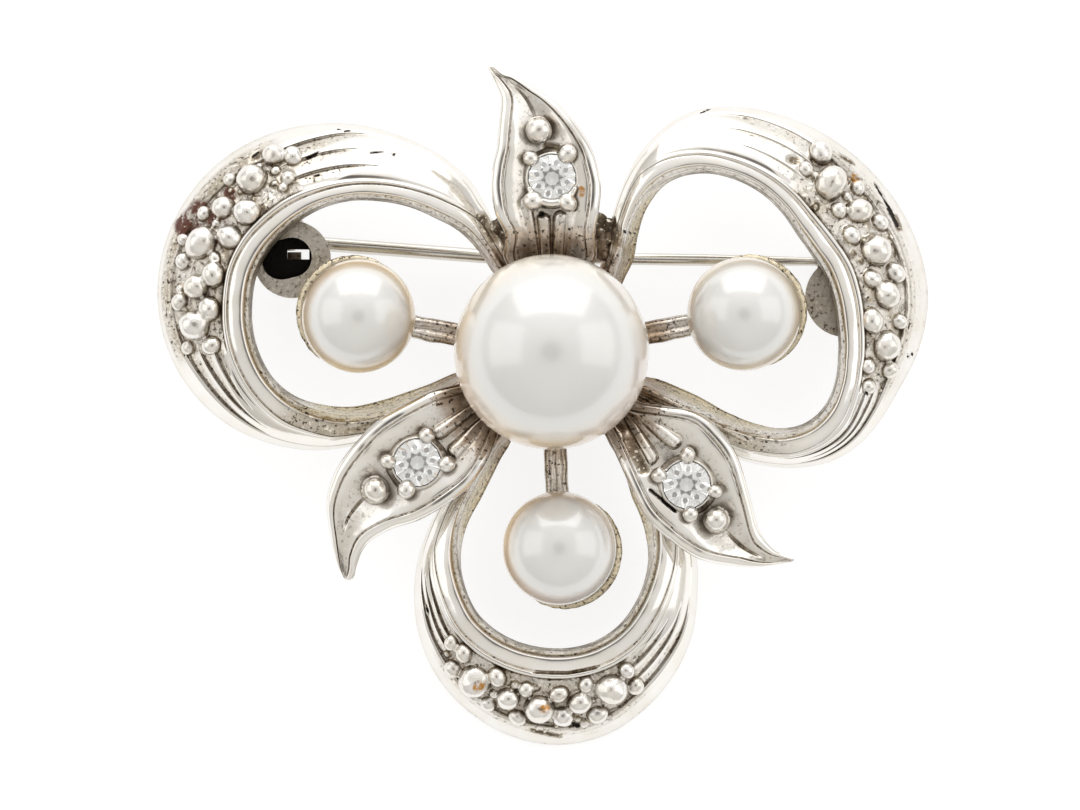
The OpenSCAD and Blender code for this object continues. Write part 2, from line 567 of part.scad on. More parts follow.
module flower_frame() {
    color(METAL) place() difference() {
        union() {
            petal(LEFT_CENTRE, LEFT_PETAL, LEFT_BEADED, LEFT_POINTS, LEFT_BEADS);
            petal(RIGHT_CENTRE, RIGHT_PETAL, RIGHT_BEADED, RIGHT_POINTS, RIGHT_BEADS);
            petal(LOWER_CENTRE, LOWER_PETAL, LOWER_BEADED, LOWER_POINTS, LOWER_BEADS);
            leaf(TOP_LEAF_ANGLE, TOP_LEAF);
            leaf(LEFT_LEAF_ANGLE, LEFT_LEAF);
            leaf(RIGHT_LEAF_ANGLE, RIGHT_LEAF);
            for (s = [[TOP_STONE, TOP_PRONGS, TOP_LEAF_BEAD], [LEFT_STONE, LEFT_PRONGS, LEFT_LEAF_BEAD],
                [RIGHT_STONE, RIGHT_PRONGS, RIGHT_LEAF_BEAD]]) {
                collar(s[0]);
                prongs(s[0], s[1]);
                leaf_bead(s[2]);
            }
            cup_body(LEFT_PEARL_ANGLE, LEFT_CUP_LEAN);
            cup_body(RIGHT_PEARL_ANGLE, RIGHT_CUP_LEAN);
            cup_body(LOWER_PEARL_ANGLE, LOWER_CUP_LEAN);
            translate([0, 0, BOSS_BOTTOM])
                cylinder(r1 = BOSS_R - BOSS_FLARE, r2 = BOSS_R, h = BOSS_TOP - BOSS_BOTTOM,
                    $fn = BOSS_SIDES);
        }
        pearl_space([0, 0], centre_pearl_d, centre_pearl_h, BOSS_SIDES);
        for (a = [LEFT_PEARL_ANGLE, RIGHT_PEARL_ANGLE, LOWER_PEARL_ANGLE])
            pearl_space(pearl_at(a), small_pearl_d, small_pearl_h, CUP_SIDES);
        for (s = [TOP_STONE, LEFT_STONE, RIGHT_STONE]) seat(s);
    }
}

// Leans the flower back and sets it down with the middle of its box over the origin
module place() {
    translate([-BOX_MIDDLE.x, -BOX_MIDDLE.y, -LOWEST]) rotate([rest_tilt, 0, 0]) children();
}

module pearl(at, d, h) {
    color(PEARL) place() translate([at.x, at.y, h]) sphere(d = d, $fn = 64);
}

module centre_pearl() { pearl([0, 0], centre_pearl_d, centre_pearl_h); }
module left_pearl() { pearl(pearl_at(LEFT_PEARL_ANGLE), small_pearl_d, small_pearl_h); }
module right_pearl() { pearl(pearl_at(RIGHT_PEARL_ANGLE), small_pearl_d, small_pearl_h); }
module lower_pearl() { pearl(pearl_at(LOWER_PEARL_ANGLE), small_pearl_d, small_pearl_h); }

// A round cut stone: an eight-sided table, a sixteen-sided girdle and a pointed pavilion
module cut_stone(at) {
    r = stone_d / 2;
    color(STONE) place() translate([at.x, at.y, GIRDLE_H]) hull() {
        translate([0, 0, CROWN_H - FACET_T])
            rotate([0, 0, 22.5]) cylinder(r = r * TABLE_SHARE, h = FACET_T, $fn = 8);
        translate([0, 0, -GIRDLE_T]) cylinder(r = r, h = GIRDLE_T, $fn = 16);
        translate([0, 0, CROWN_H * STAR_H_SHARE])
            cylinder(r = r * STAR_SHARE, h = FACET_T, $fn = 8);
        translate([0, 0, -GIRDLE_T - PAVILION_H])
            cylinder(r1 = CULET_R, r2 = r / 2, h = PAVILION_H / 2 - FACET_T, $fn = 8);
    }
}

module top_leaf_stone() { cut_stone(TOP_STONE); }
module left_leaf_stone() { cut_stone(LEFT_STONE); }
module right_leaf_stone() { cut_stone(RIGHT_STONE); }

// A cylinder along +y from a point
module along_y(from, r, l) {
    translate(from) rotate([-90, 0, 0]) cylinder(r = r, h = l, $fn = 48);
}

// The hinge's round base: a long hollow open to the front, a window in its floor, two ears below
module hinge_bracket() {
    ear_gap = EYE_W / 2 + EYE_GAP;
    color(METAL) place() difference() {
        union() {
            translate([HINGE_BASE.x, HINGE_BASE.y, HINGE_BOTTOM])
                cylinder(d = hinge_base_d, h = HINGE_TOP - HINGE_BOTTOM, $fn = 64);
            for (y = [RIVET_AT.y - ear_gap - EAR_T, RIVET_AT.y + ear_gap]) {
                along_y([RIVET_AT.x, y, RIVET_AT.z], EAR_R, EAR_T);
                translate([RIVET_AT.x - EAR_R * EAR_NECK_SHARE, y, RIVET_AT.z])
                    cube([2 * EAR_R * EAR_NECK_SHARE, EAR_T, HINGE_BOTTOM - RIVET_AT.z + SUNK]);
            }
        }
        translate([HINGE_BASE.x + HINGE_HOLLOW_AT.x, HINGE_BASE.y + HINGE_HOLLOW_AT.y,
            HINGE_BOTTOM + HINGE_FLOOR_T]) rotate([0, 0, HINGE_HOLLOW_TURN]) {
            for (x = [-HINGE_HOLLOW_REACH, HINGE_HOLLOW_REACH])
                translate([x, 0, 0]) cylinder(r = HINGE_HOLLOW_R, h = 2, $fn = 64);
            translate([-HINGE_HOLLOW_REACH, -HINGE_HOLLOW_R, 0])
                cube([2 * HINGE_HOLLOW_REACH, 2 * HINGE_HOLLOW_R, 2]);
        }
        translate([HINGE_BASE.x + HINGE_WINDOW_AT.x - HINGE_WINDOW.x / 2,
            HINGE_BASE.y + HINGE_WINDOW_AT.y - HINGE_WINDOW.y / 2, HINGE_BOTTOM - 1])
            cube([HINGE_WINDOW.x, HINGE_WINDOW.y, 2]);
        along_y([RIVET_AT.x, RIVET_AT.y - 2, RIVET_AT.z], rivet_d / 2 + rivet_play, 4);
    }
}

module hinge_rivet() {
    half = EYE_W / 2 + EYE_GAP + EAR_T + RIVET_END_PLAY;
    color(METAL) place() {
        along_y([RIVET_AT.x, RIVET_AT.y - half, RIVET_AT.z], rivet_d / 2, 2 * half);
        for (y = [-half - RIVET_HEAD_T, half])
            along_y([RIVET_AT.x, RIVET_AT.y + y, RIVET_AT.z], RIVET_HEAD_R, RIVET_HEAD_T);
    }
}

// The pin: its eye, a thick root, and a thinner stretch that runs out of the root's end to the tip
module pin_stem() {
    root = PIN_BEND - [RIVET_AT.x, RIVET_AT.y];
    reach = PIN_TIP - PIN_BEND;
    color(METAL) place() difference() {
        union() {
            along_y([RIVET_AT.x, RIVET_AT.y - EYE_W / 2, RIVET_AT.z], EYE_R, EYE_W);
            translate(RIVET_AT) rotate([0, 0, atan2(root.y, root.x)]) rotate([0, 90, 0])
                translate([0, 0, PIN_ROOT_FROM])
                    cylinder(d = pin_root_d, h = norm(root) - PIN_ROOT_FROM, $fn = 48);
            translate([PIN_BEND.x, PIN_BEND.y, RIVET_AT.z])
                rotate([0, 0, atan2(reach.y, reach.x)]) rotate([0, 90, 0])
                    rotate_extrude($fn = 48) polygon([[0, -PIN_SUNK], [pin_d / 2, -PIN_SUNK],
                        [pin_d / 2, PIN_TAPER_FROM], [PIN_NECK_D / 2, PIN_NECK_AT],
                        [PIN_TIP_D / 2, norm(reach)], [0, norm(reach)]]);
        }
        along_y([RIVET_AT.x, RIVET_AT.y - 2, RIVET_AT.z], rivet_d / 2 + rivet_play, 4);
    }
}

// The catch: a round base and a hook whose mouth faces the wearer
module catch() {
    y = pin_y((CATCH_FROM + CATCH_TO) / 2);
    long = CATCH_TO - CATCH_FROM;
    color(METAL) place() difference() {
        union() {
            translate([CATCH_BASE.x, CATCH_BASE.y, INNER_BACK - CATCH_BASE_T])
                cylinder(d = catch_base_d, h = CATCH_BASE_T, $fn = 64);
            translate([CATCH_FROM, y, RIVET_AT.z]) rotate([0, 90, 0])
                cylinder(r = HOOK_R, h = long, $fn = 48);
            translate([CATCH_FROM, y - CATCH_NECK_W, RIVET_AT.z])
                cube([long, CATCH_NECK_W, INNER_BACK - CATCH_BASE_T - RIVET_AT.z + SUNK]);
        }
        translate([CATCH_FROM - 1, y, RIVET_AT.z]) rotate([0, 90, 0])
            cylinder(r = CATCH_BORE_R, h = long + 2, $fn = 48);
        translate([CATCH_FROM - 1, y - CATCH_MOUTH / 2, RIVET_AT.z - 3])
            cube([long + 2, CATCH_MOUTH, 3]);
    }
}

flower_frame();
centre_pearl();
left_pearl();
right_pearl();
lower_pearl();
top_leaf_stone();
left_leaf_stone();
right_leaf_stone();
hinge_bracket();
hinge_rivet();
pin_stem();
catch();
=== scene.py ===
"""Flower brooch: three looped ribbon petals, three leaves, four pearls and three cut stones."""
import math
import bpy
import numpy as np
from mathutils import Matrix, Vector


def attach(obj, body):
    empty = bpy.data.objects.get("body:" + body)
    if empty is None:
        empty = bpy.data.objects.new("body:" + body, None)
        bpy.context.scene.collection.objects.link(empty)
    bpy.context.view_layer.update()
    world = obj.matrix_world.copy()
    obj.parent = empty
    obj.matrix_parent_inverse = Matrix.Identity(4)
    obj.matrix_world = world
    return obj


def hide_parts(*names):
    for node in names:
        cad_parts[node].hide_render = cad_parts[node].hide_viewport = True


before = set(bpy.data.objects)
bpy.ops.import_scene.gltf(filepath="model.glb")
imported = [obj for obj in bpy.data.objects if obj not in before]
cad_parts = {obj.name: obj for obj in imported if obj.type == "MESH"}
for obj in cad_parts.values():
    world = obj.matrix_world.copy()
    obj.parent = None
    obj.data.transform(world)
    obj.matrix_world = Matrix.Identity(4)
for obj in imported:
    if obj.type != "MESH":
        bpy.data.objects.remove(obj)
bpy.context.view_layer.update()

# The flower's own frame: millimetres, face up, the large pearl's axis at x = y = 0
MM = 0.001
TILT = math.radians(6.2)
LIFT = Vector((0.307911, 2.13004, 1.51988))
PHOTO_WIDTH = 1080
PIXELS_PER_MM = 27.86
PLACE = Matrix.Scale(MM, 4) @ Matrix.Translation(LIFT) @ Matrix.Rotation(TILT, 4, "X")
PLACE_ARRAY = np.array(PLACE)
normal = (PLACE.to_3x3() @ Vector((0, 0, 1))).normalized()

# Petal tables: angle, radius of the opening, outer radius, foot inside the rail, rail height share,
# rail width share, border width share
CREST = 3.0
LEFT_PETAL = [
    [0, 5.75, 6.7, 0.1, 0.58, 0.85, 0.3], [11, 5.22, 6.15, 0.12, 0.72, 0.85, 0.3],
    [21, 4.93, 5.9, 0.12, 0.8, 0.85, 0.3], [33, 4.62, 5.92, 0.1, 0.86, 0.85, 0.3],
    [45, 4.24, 6.1, 0.08, 0.91, 0.8, 0.3], [60, 3.95, 6.17, 0.06, 0.95, 0.7, 0.3],
    [75, 3.73, 6.23, 0.06, 0.98, 0.65, 0.3], [90, 3.61, 6.39, 0.06, 1, 0.6, 0.4],
    [105, 3.52, 6.57, 0.06, 1, 0.6, 0.7], [120, 3.45, 6.78, 0.06, 1, 0.7, 0.95],
    [135, 3.43, 6.95, 0.06, 1, 0.8, 0.95], [150, 3.48, 7.04, 0.06, 1, 0.9, 0.85],
    [165, 3.55, 7.07, 0.06, 1, 0.95, 0.65], [180, 3.59, 7.02, 0.06, 1, 0.95, 0.6],
    [195, 3.7, 6.88, 0.06, 1, 0.95, 0.7], [210, 3.84, 6.64, 0.06, 0.99, 0.95, 0.75],
    [225, 3.98, 6.33, 0.08, 0.97, 0.95, 0.6], [240, 4, 5.95, 0.14, 0.94, 1, 0.45],
    [255, 3.9, 5.6, 0.24, 0.9, 1, 0.35], [270, 3.83, 5.27, 0.34, 0.86, 1, 0.3],
    [285, 3.76, 5.08, 0.38, 0.82, 1, 0.3], [300, 3.84, 5.04, 0.38, 0.78, 1, 0.3],
    [312, 4.09, 5.16, 0.36, 0.74, 0.95, 0.3], [324, 4.5, 5.5, 0.3, 0.68, 0.9, 0.3],
    [334, 5.2, 6.1, 0.15, 0.58, 0.85, 0.3]]
RIGHT_PETAL = [
    [-145, 4.7, 5.6, 0.15, 0.58, 0.9, 0.3], [-132, 4.06, 5.2, 0.34, 0.68, 0.95, 0.3],
    [-118, 3.84, 5.08, 0.38, 0.76, 1, 0.3], [-105, 3.91, 5.3, 0.38, 0.81, 1, 0.3],
    [-90, 4.31, 5.84, 0.34, 0.86, 1, 0.3], [-80, 4.7, 6.24, 0.26, 0.9, 0.95, 0.35],
    [-70, 5.1, 6.62, 0.18, 0.93, 0.95, 0.4], [-60, 5.28, 6.93, 0.12, 0.96, 0.9, 0.5],
    [-50, 5.16, 7.03, 0.08, 0.98, 0.9, 0.6], [-40, 4.8, 6.95, 0.06, 0.99, 0.85, 0.7],
    [-30, 4.36, 6.87, 0.06, 1, 0.85, 0.8], [-15, 3.86, 6.98, 0.06, 1, 0.85, 0.95],
    [0, 3.55, 7.04, 0.06, 1, 0.85, 1], [15, 3.34, 6.93, 0.06, 1, 0.85, 1], [30, 3.17, 6.81, 0.06, 1, 0.8, 1],
    [45, 3.2, 6.72, 0.06, 1, 0.75, 0.9], [60, 3.48, 6.71, 0.06, 1, 0.7, 0.7],
    [75, 3.84, 6.75, 0.06, 0.99, 0.65, 0.5], [90, 4.22, 6.83, 0.06, 0.97, 0.65, 0.35],
    [105, 4.58, 6.78, 0.08, 0.94, 0.7, 0.3], [120, 4.72, 6.3, 0.14, 0.9, 0.8, 0.3],
    [135, 4.45, 5.68, 0.3, 0.85, 0.9, 0.3], [148, 4.08, 5.22, 0.42, 0.8, 0.9, 0.3],
    [160, 3.85, 4.95, 0.44, 0.76, 0.9, 0.3], [170, 3.97, 4.98, 0.38, 0.72, 0.9, 0.3],
    [182, 4.25, 5.25, 0.25, 0.66, 0.85, 0.3], [190, 4.6, 5.6, 0.15, 0.58, 0.85, 0.3]]
LOWER_PETAL = [
    [105, 4.95, 5.9, 0.15, 0.58, 0.85, 0.35], [114, 4.38, 5.42, 0.36, 0.68, 0.9, 0.35],
    [128, 3.8, 4.92, 0.42, 0.76, 1, 0.35], [142, 3.5, 4.66, 0.4, 0.82, 1, 0.35],
    [162, 3.47, 4.72, 0.26, 0.88, 1, 0.35], [180, 3.48, 5.02, 0.12, 0.93, 1, 0.4],
    [198, 3.47, 5.42, 0.06, 0.97, 0.95, 0.5], [215, 3.47, 5.84, 0.06, 0.99, 0.95, 0.65],
    [228, 3.4, 6.15, 0.06, 1, 0.95, 0.75], [240, 3.33, 6.38, 0.06, 1, 0.95, 0.7],
    [255, 3.26, 6.62, 0.06, 1, 0.95, 0.8], [270, 3.24, 6.73, 0.06, 1, 0.95, 0.8],
    [285, 3.26, 6.62, 0.06, 1, 0.95, 0.75], [300, 3.28, 6.3, 0.06, 1, 0.95, 0.8],
    [315, 3.28, 5.96, 0.06, 0.99, 0.95, 0.7], [330, 3.25, 5.62, 0.06, 0.97, 0.95, 0.5],
    [345, 3.26, 5.25, 0.08, 0.94, 0.95, 0.4], [360, 3.3, 5.05, 0.14, 0.9, 1, 0.35],
    [378, 3.34, 4.8, 0.28, 0.85, 1, 0.35], [399, 3.5, 4.62, 0.42, 0.8, 1, 0.35],
    [412, 3.95, 5.05, 0.4, 0.74, 1, 0.35], [425, 4.54, 5.6, 0.3, 0.66, 0.9, 0.35],
    [434, 5.1, 6.1, 0.15, 0.58, 0.85, 0.35]]

# Beads: angle about the petal's centre, radius from it, diameter
LEFT_BEADS = [
    [118, 5.9, 0.85], [112, 5.55, 0.7], [117, 4.95, 0.55], [129.5, 5.6, 1.1], [135, 6.15, 0.55],
    [139.5, 4.9, 0.95], [144, 5.65, 0.85], [149.5, 6.15, 0.55], [159, 5.75, 1.1], [152.5, 4.95, 0.85],
    [160, 6.42, 0.5], [167, 6.2, 0.6], [163, 5.1, 0.5], [169.5, 5.05, 0.85], [175, 5.6, 0.9],
    [180.5, 6.15, 0.65], [183.5, 5.1, 0.8], [189, 5.7, 1.05], [196, 6.1, 0.55], [198, 5.25, 0.7]]
RIGHT_BEADS = [
    [59, 6, 0.85], [60.5, 5.2, 0.6], [49, 5.3, 1.1], [41, 5.9, 0.6], [39, 4.85, 0.6], [34, 5.4, 0.9],
    [26.5, 5.85, 0.6], [27, 4.75, 0.65], [17, 5.35, 1.1], [8, 5.85, 0.7], [6.5, 5, 0.65], [0, 5.5, 0.95],
    [-10.5, 5.05, 0.8], [-9, 6, 0.6], [-18.5, 5.8, 1.1], [-25.5, 6.2, 0.65], [-28, 5.45, 0.55],
    [-34.5, 5.85, 0.55]]
LOWER_BEADS = [
    [218, 4.85, 0.55], [225, 4.75, 0.65], [226.5, 5.4, 0.7], [235.5, 5.25, 1.1], [243, 4.75, 0.65],
    [244.5, 5.75, 0.6], [250.5, 5.3, 0.8], [256.5, 4.8, 0.6], [256, 5.85, 0.65], [263.5, 5.4, 1.1],
    [271, 4.85, 0.6], [272.5, 5.65, 0.8], [279, 5.2, 0.8], [283, 4.6, 0.55], [285, 5.75, 0.75],
    [292.5, 5.05, 1.1], [302, 4.7, 0.6], [301.5, 5.35, 0.7]]

# Leaves: distance along, right edge, left edge, rim height
TOP_LEAF = [
    [2.6, -1.2, 1.3, 2.3], [3.4, -1.62, 1.72, 2.95], [4.2, -1.58, 1.68, 3.4], [5, -1.7, 2.03, 3.6],
    [5.9, -1.78, 2.17, 3.65], [6.6, -1.66, 2.12, 3.65], [7.4, -1.41, 1.96, 3.6], [8.3, -0.83, 1.88, 3.5],
    [9.05, -0.1, 1.82, 3.35], [9.55, 0.66, 1.96, 3.2], [9.86, 1.24, 2.1, 3.12], [9.98, 1.66, 2.16, 3.1],
    [10.27, 2.06, 2.3, 3.05]]
LEFT_LEAF = [
    [2.6, -1, 0.7, 2.3], [3.3, -1.28, 1, 2.85], [4.2, -1.7, 1.48, 3.35], [5.25, -1.97, 1.8, 3.55],
    [6.4, -2.13, 1.77, 3.6], [7.5, -2.03, 1.58, 3.5], [8.5, -1.8, 1.18, 3.3], [9.3, -1.39, 1.03, 3.1],
    [9.8, -0.93, 1.1, 2.95], [10.3, -0.17, 1.38, 2.8], [10.6, 0.38, 1.6, 2.74], [10.83, 0.9, 1.64, 2.7],
    [10.95, 1.36, 1.5, 2.68]]
RIGHT_LEAF = [
    [2.6, -0.75, 0.55, 2.3], [3.5, -1, 0.7, 2.95], [4.4, -1.38, 1.25, 3.4], [5.4, -1.85, 1.82, 3.55],
    [6.4, -2.24, 1.85, 3.6], [7.5, -2.32, 1.56, 3.55], [8.8, -2.16, 0.76, 3.4], [9.8, -1.65, 0.1, 3.2],
    [10.6, -1.05, -0.1, 3.05], [11.1, -0.5, -0.02, 2.95], [11.5, 0, 0.12, 2.9]]

# Cones in a leaf's foot: place across at each end, start and end along the leaf, radius at each end
TOP_CONES = [
    (-0.55, -1.05, 2.7, 5.3, 0.2, 0.34), (-0.18, -0.35, 2.7, 5.1, 0.22, 0.28),
    (0.15, 0.3, 2.7, 5, 0.2, 0.26), (0.45, 1, 2.7, 5.6, 0.16, 0.28)]
LEFT_CONES = [(-0.20, -0.42, 2.7, 5.2, 0.18, 0.30), (0.30, 0.55, 2.7, 5.2, 0.20, 0.36)]
RIGHT_CONES = [(0.15, -0.58, 3.2, 5.45, 0.14, 0.32), (0.35, 0.50, 3.2, 5.70, 0.14, 0.34)]

# Lumps of solder beside the top leaf's foot: place and radius
SOLDER = [
    (1.62, 4.66, 0.33), (1.95, 4.5, 0.3), (1.64, 4.26, 0.36), (1.96, 4.08, 0.33), (1.62, 3.86, 0.36),
    (1.84, 3.6, 0.32), (-1.8, 4.62, 0.3), (-2.1, 4.38, 0.32), (-1.82, 4.12, 0.34), (-2.02, 3.84, 0.3),
    (-1.75, 3.6, 0.34)]
SOLDER_H = 1.75
# How near to the flower's axis the metal is earthy and gritty, and over how many millimetres that fades
ROOT_REACH = 5.3
ROOT_FADE = 1.6

# Marks on the metal, seen from the front: each is a line from one place to another, and its half width
STAINS = [
    (-13.2, 4.6, -12.7, 5.1, 0.42), (-12.2, 4.9, -11.8, 4.4, 0.35), (-11.9, 4.4, -11.9, 4.1, 0.25),
    (-11.6, 5.75, -11.6, 5.6, 0.22)]
ORANGE = [
    (1.08, 5.85, 1.08, 5.65, 0.13), (10.9, 6.35, 11, 6.2, 0.14), (-0.3, -12.85, -0.2, -12.8, 0.16),
    (-2.7, -12.1, -2.5, -12, 0.16)]
PITS = [
    (0.8, -13.42, 0.95, -13.5, 0.12), (-6.5, 7.18, -6.1, 7.22, 0.03), (-5.68, 7.12, -5.66, 7.12, 0.06),
    (-8.8, 7, -8.4, 7.2, 0.05), (-10.75, 7.08, -10.6, 7.2, 0.05), (-8.5, 6.35, -8.38, 6.37, 0.03),
    (-7.65, 8.05, -7.63, 8.06, 0.03), (-7.45, 7.97, -7.25, 8, 0.03), (5.35, 8.62, 5.68, 8.76, 0.03),
    (12.2, 5.2, 12.5, 4.55, 0.08), (11.7, 6.05, 12.2, 5.2, 0.04), (12.85, -0.15, 13.1, -0.02, 0.05),
    (12.87, 0.85, 12.92, 0.98, 0.03), (11.32, -1.45, 11.36, -1.5, 0.05), (-4.5, -9.2, -4.45, -9.35, 0.05),
    (2.5, 4.35, 3.05, 4.3, 0.03), (-0.36, 4.93, -0.34, 4.95, 0.11), (3.55, -4.95, 4.45, -5.7, 0.06)]
# Hollows darkened with painted shade, marked in the same way
HOLLOWS = [
    (-0.6, -11.53, 0.6, -11.56, 0.06), (0.6, -11.56, 1.6, -11.36, 0.06), (-0.75, -13.63, 0.34, -13.86, 0.08),
    (2, 4.6, 2.35, 4, 0.32), (-2.5, 4.8, -2.1, 4.1, 0.22), (8.68, 6.92, 8.82, 6.92, 0.16),
    (9.5, 6.9, 9.68, 6.95, 0.16), (10.5, 7.05, 10.85, 6.85, 0.07), (12.4, 4.9, 12.52, 4.5, 0.13),
    (-10.7, 7, -10.4, 7.2, 0.13), (-12.9, 3, -12.85, 2.2, 0.07), (2.76, -3.2, 3.3, -4.2, 0.22),
    (-0.15, 7.36, 0.14, 7.28, 0.2)]


# Making meshes
def ease(t):
    """A smooth step from 0 to 1 as t goes from 0 to 1."""
    t = np.clip(t, 0, 1)
    return t * t * (3 - 2 * t)


def marked(points, marks):
    """How strongly each point lies within the marks, from 0 to 1."""
    total = np.zeros(len(points))
    for x0, y0, x1, y1, r in marks:
        start, way = np.array([x0, y0]), np.array([x1 - x0, y1 - y0])
        t = np.clip((points[:, :2] - start) @ way / (way @ way), 0, 1)
        off = points[:, :2] - start - t[:, None] * way
        total = np.maximum(total, ease(1.4 - np.hypot(off[:, 0], off[:, 1]) / r))
    return total


def object_from(name, points, faces, smooth=True, attributes=None):
    """A mesh from points in the flower's frame, with the marks that its material reads at each point."""
    points = np.asarray(points, float).reshape(-1, 3)
    world = points @ PLACE_ARRAY[:3, :3].T + PLACE_ARRAY[:3, 3]
    mesh = bpy.data.meshes.new(name)
    mesh.from_pydata(world.tolist(), [], [list(map(int, f)) for f in faces])
    if smooth:
        mesh.shade_smooth()
    attributes = dict(attributes or {})
    attributes["root"] = ease((ROOT_REACH - np.hypot(points[:, 0], points[:, 1])) / ROOT_FADE)
    front = attributes.pop("front", 1.0)
    attributes["stain"] = marked(points, STAINS) * (1 - attributes.get("proud", 0.0)) * front
    attributes["orange"] = marked(points, ORANGE) * front
    attributes["pit"] = marked(points, PITS) * front
    for key, values in attributes.items():
        layer = mesh.attributes.new(key, "FLOAT", "POINT")
        layer.data.foreach_set("value", np.asarray(values, np.float32).ravel())
    mesh.update()
    made = bpy.data.objects.new(name, mesh)
    bpy.context.scene.collection.objects.link(made)
    return made


def grid_faces(rings, n):
    """Quads between closed rings of n points each."""
    k = np.arange(n)
    nxt = (k + 1) % n
    s = np.arange(rings - 1)[:, None] * n
    quads = np.stack([s + k, s + nxt, s + n + nxt, s + n + k], axis=-1)
    return quads.reshape(-1, 4).tolist()


def tube_faces(rings, n, turned=False):
    """Faces over closed rings of n points each, with a cap at each end; turned ones look the other way."""
    faces = grid_faces(rings, n)
    faces.append(list(range(n))[::-1])
    faces.append([(rings - 1) * n + k for k in range(n)])
    return [f[::-1] for f in faces] if turned else faces


def spot(centre, r, degrees, z):
    """Points at the radii r from a centre, all at one angle about it, and at the heights z."""
    rad = math.radians(degrees)
    return np.stack([centre[0] + r * math.cos(rad), centre[1] + r * math.sin(rad), z], -1)


def rotated(points, degrees):
    """Points turned about the flower's axis."""
    c = math.cos(math.radians(degrees))
    s = math.sin(math.radians(degrees))
    x, y, z = points.T
    return np.stack([x * c - y * s, x * s + y * c, z], -1)


class Pile:
    """Gathers several shapes into one mesh, each with how rough it is and how tarnished and darkened with
    painted shade it is.
    """

    def __init__(self):
        self.points = []
        self.faces = []
        self.rough = []
        self.tarnish_and_shade = []
        self.count = 0

    def add(self, points, faces, rough=0.0, tarnish_and_shade=0.0):
        points = np.asarray(points, float).reshape(-1, 3)
        self.points.append(points)
        self.faces += [[int(i) + self.count for i in f] for f in faces]
        self.rough.append(np.broadcast_to(np.asarray(rough, float), (len(points),)))
        self.tarnish_and_shade.append(np.broadcast_to(np.asarray(tarnish_and_shade, float), (len(points),)))
        self.count += len(points)

    def made(self, name):
        attributes = {"rough": np.concatenate(self.rough), "tarnish_and_shade": np.concatenate(self.tarnish_and_shade)}
        return object_from(name, np.concatenate(self.points), self.faces, attributes=attributes)


def ball(r, across, down, squash=1.0):
    """Points and faces of a ball about the origin, with so many faces across and down."""
    lat = np.linspace(0, math.pi, down + 1)[1:-1]
    lon = np.linspace(0, 2 * math.pi, across, endpoint=False)
    x = r * np.sin(lat)[:, None] * np.cos(lon)
    y = r * np.sin(lat)[:, None] * np.sin(lon)
    z = np.repeat((r * squash * np.cos(lat))[:, None], across, axis=1)
    points = np.stack([x, y, z], axis=-1).reshape(-1, 3)
    faces = [f[::-1] for f in grid_faces(down - 1, across)]
    top, bottom = len(points), len(points) + 1
    points = np.vstack([points, [0, 0, r * squash], [0, 0, -r * squash]])
    last = (down - 2) * across
    for k in range(across):
        nxt = (k + 1) % across
        faces.append([top, k, nxt])
        faces.append([bottom, last + nxt, last + k])
    return points, faces


def lathe(profile, sides):
    """A body turned about the z axis from a profile of (radius, height) points, closed as a ring."""
    profile = np.asarray(profile, float)
    lon = np.linspace(0, 2 * math.pi, sides, endpoint=False)
    x = profile[:, 0][None] * np.cos(lon)[:, None]
    y = profile[:, 0][None] * np.sin(lon)[:, None]
    z = np.broadcast_to(profile[:, 1][None], x.shape)
    points = np.stack([x, y, z], axis=-1).reshape(-1, 3)
    n = len(profile)
    k = np.arange(n)
    s = np.arange(sides)[:, None]
    nxt = (s + 1) % sides
    quads = np.stack([s * n + k, nxt * n + k, nxt * n + (k + 1) % n, s * n + (k + 1) % n], axis=-1)
    return points, quads.reshape(-1, 4).tolist()


def through(rows, at):
    """A smooth curve through the rows of a table, read at the values of its first column."""
    rows = np.asarray(rows, float)
    at = np.atleast_1d(at)
    i = np.clip(np.searchsorted(rows[:, 0], at, side="right") - 1, 0, len(rows) - 2)
    a, b, c, d = (rows[np.clip(i + k, 0, len(rows) - 1)] for k in (-1, 0, 1, 2))
    t = ((at - rows[i, 0]) / (rows[i + 1, 0] - rows[i, 0]))[:, None]
    return (2 * b + (c - a) * t + (2 * a - 5 * b + 4 * c - d) * t**2 + (3 * b - a - 3 * c + d) * t**3) / 2


def wobble(points, scale, seed):
    """A smooth random value between about -1 and 1 at each point."""
    pick = np.random.default_rng(seed)
    total = np.zeros(len(points))
    for _ in range(6):
        way = pick.normal(size=3)
        way *= scale / np.linalg.norm(way)
        total += np.sin(points @ way + pick.uniform(0, 6.28))
    return total / 3


def uneven(points, amount, scale, seed):
    """The points of a small body, swollen and shrunk a little here and there."""
    return points * (1 + amount * wobble(points, scale, seed)[:, None])


# Petals: greatest widths of rail, ridge and border, fall of the face for each millimetre of width, depths of
# flute and bed, height of the back's inner edge, and drop of the rail to the opening's wall, in millimetres
RAIL_W = 0.80
RIDGE_W = 0.30
BORDER_W = 0.75
FALL = 0.60
FLUTE_D = 0.15
BED_D = 0.20
INNER_BACK = 0.5
RAIL_DROP = 0.42
# Flutes: how many degrees they reach past the beads, and how much sooner each of the three begins and ends
FLUTES = 3
FLUTE_REACH = 36
FLUTE_EARLY = (0.0, 8.0, 4.0)
FLUTE_LATE = (10.0, 3.0, 0.0)
# Points across a section: opening's wall, rail, ridge, field, border and back
WALL_POINTS = 10
RAIL_POINTS = 30
RIDGE_POINTS = 14
FIELD_POINTS = 72
BORDER_POINTS = 18
BACK_POINTS = 8
PETAL_SECTIONS = 310
# Small granules between the beads, and how often a free place is tried
GRANULES = 12
GRANULE_TRIES = 900
BEADS_VOXEL = 0.045
# How dark the painted shade in the marks of HOLLOWS is
HOLLOW_SHADE = 1.75


def bed_at(beaded, a):
    """How fully the bed of beads is sunk at an angle, from 0 to 1."""
    return ease((a - beaded[0]) / 8) * ease((beaded[1] - a) / 8)


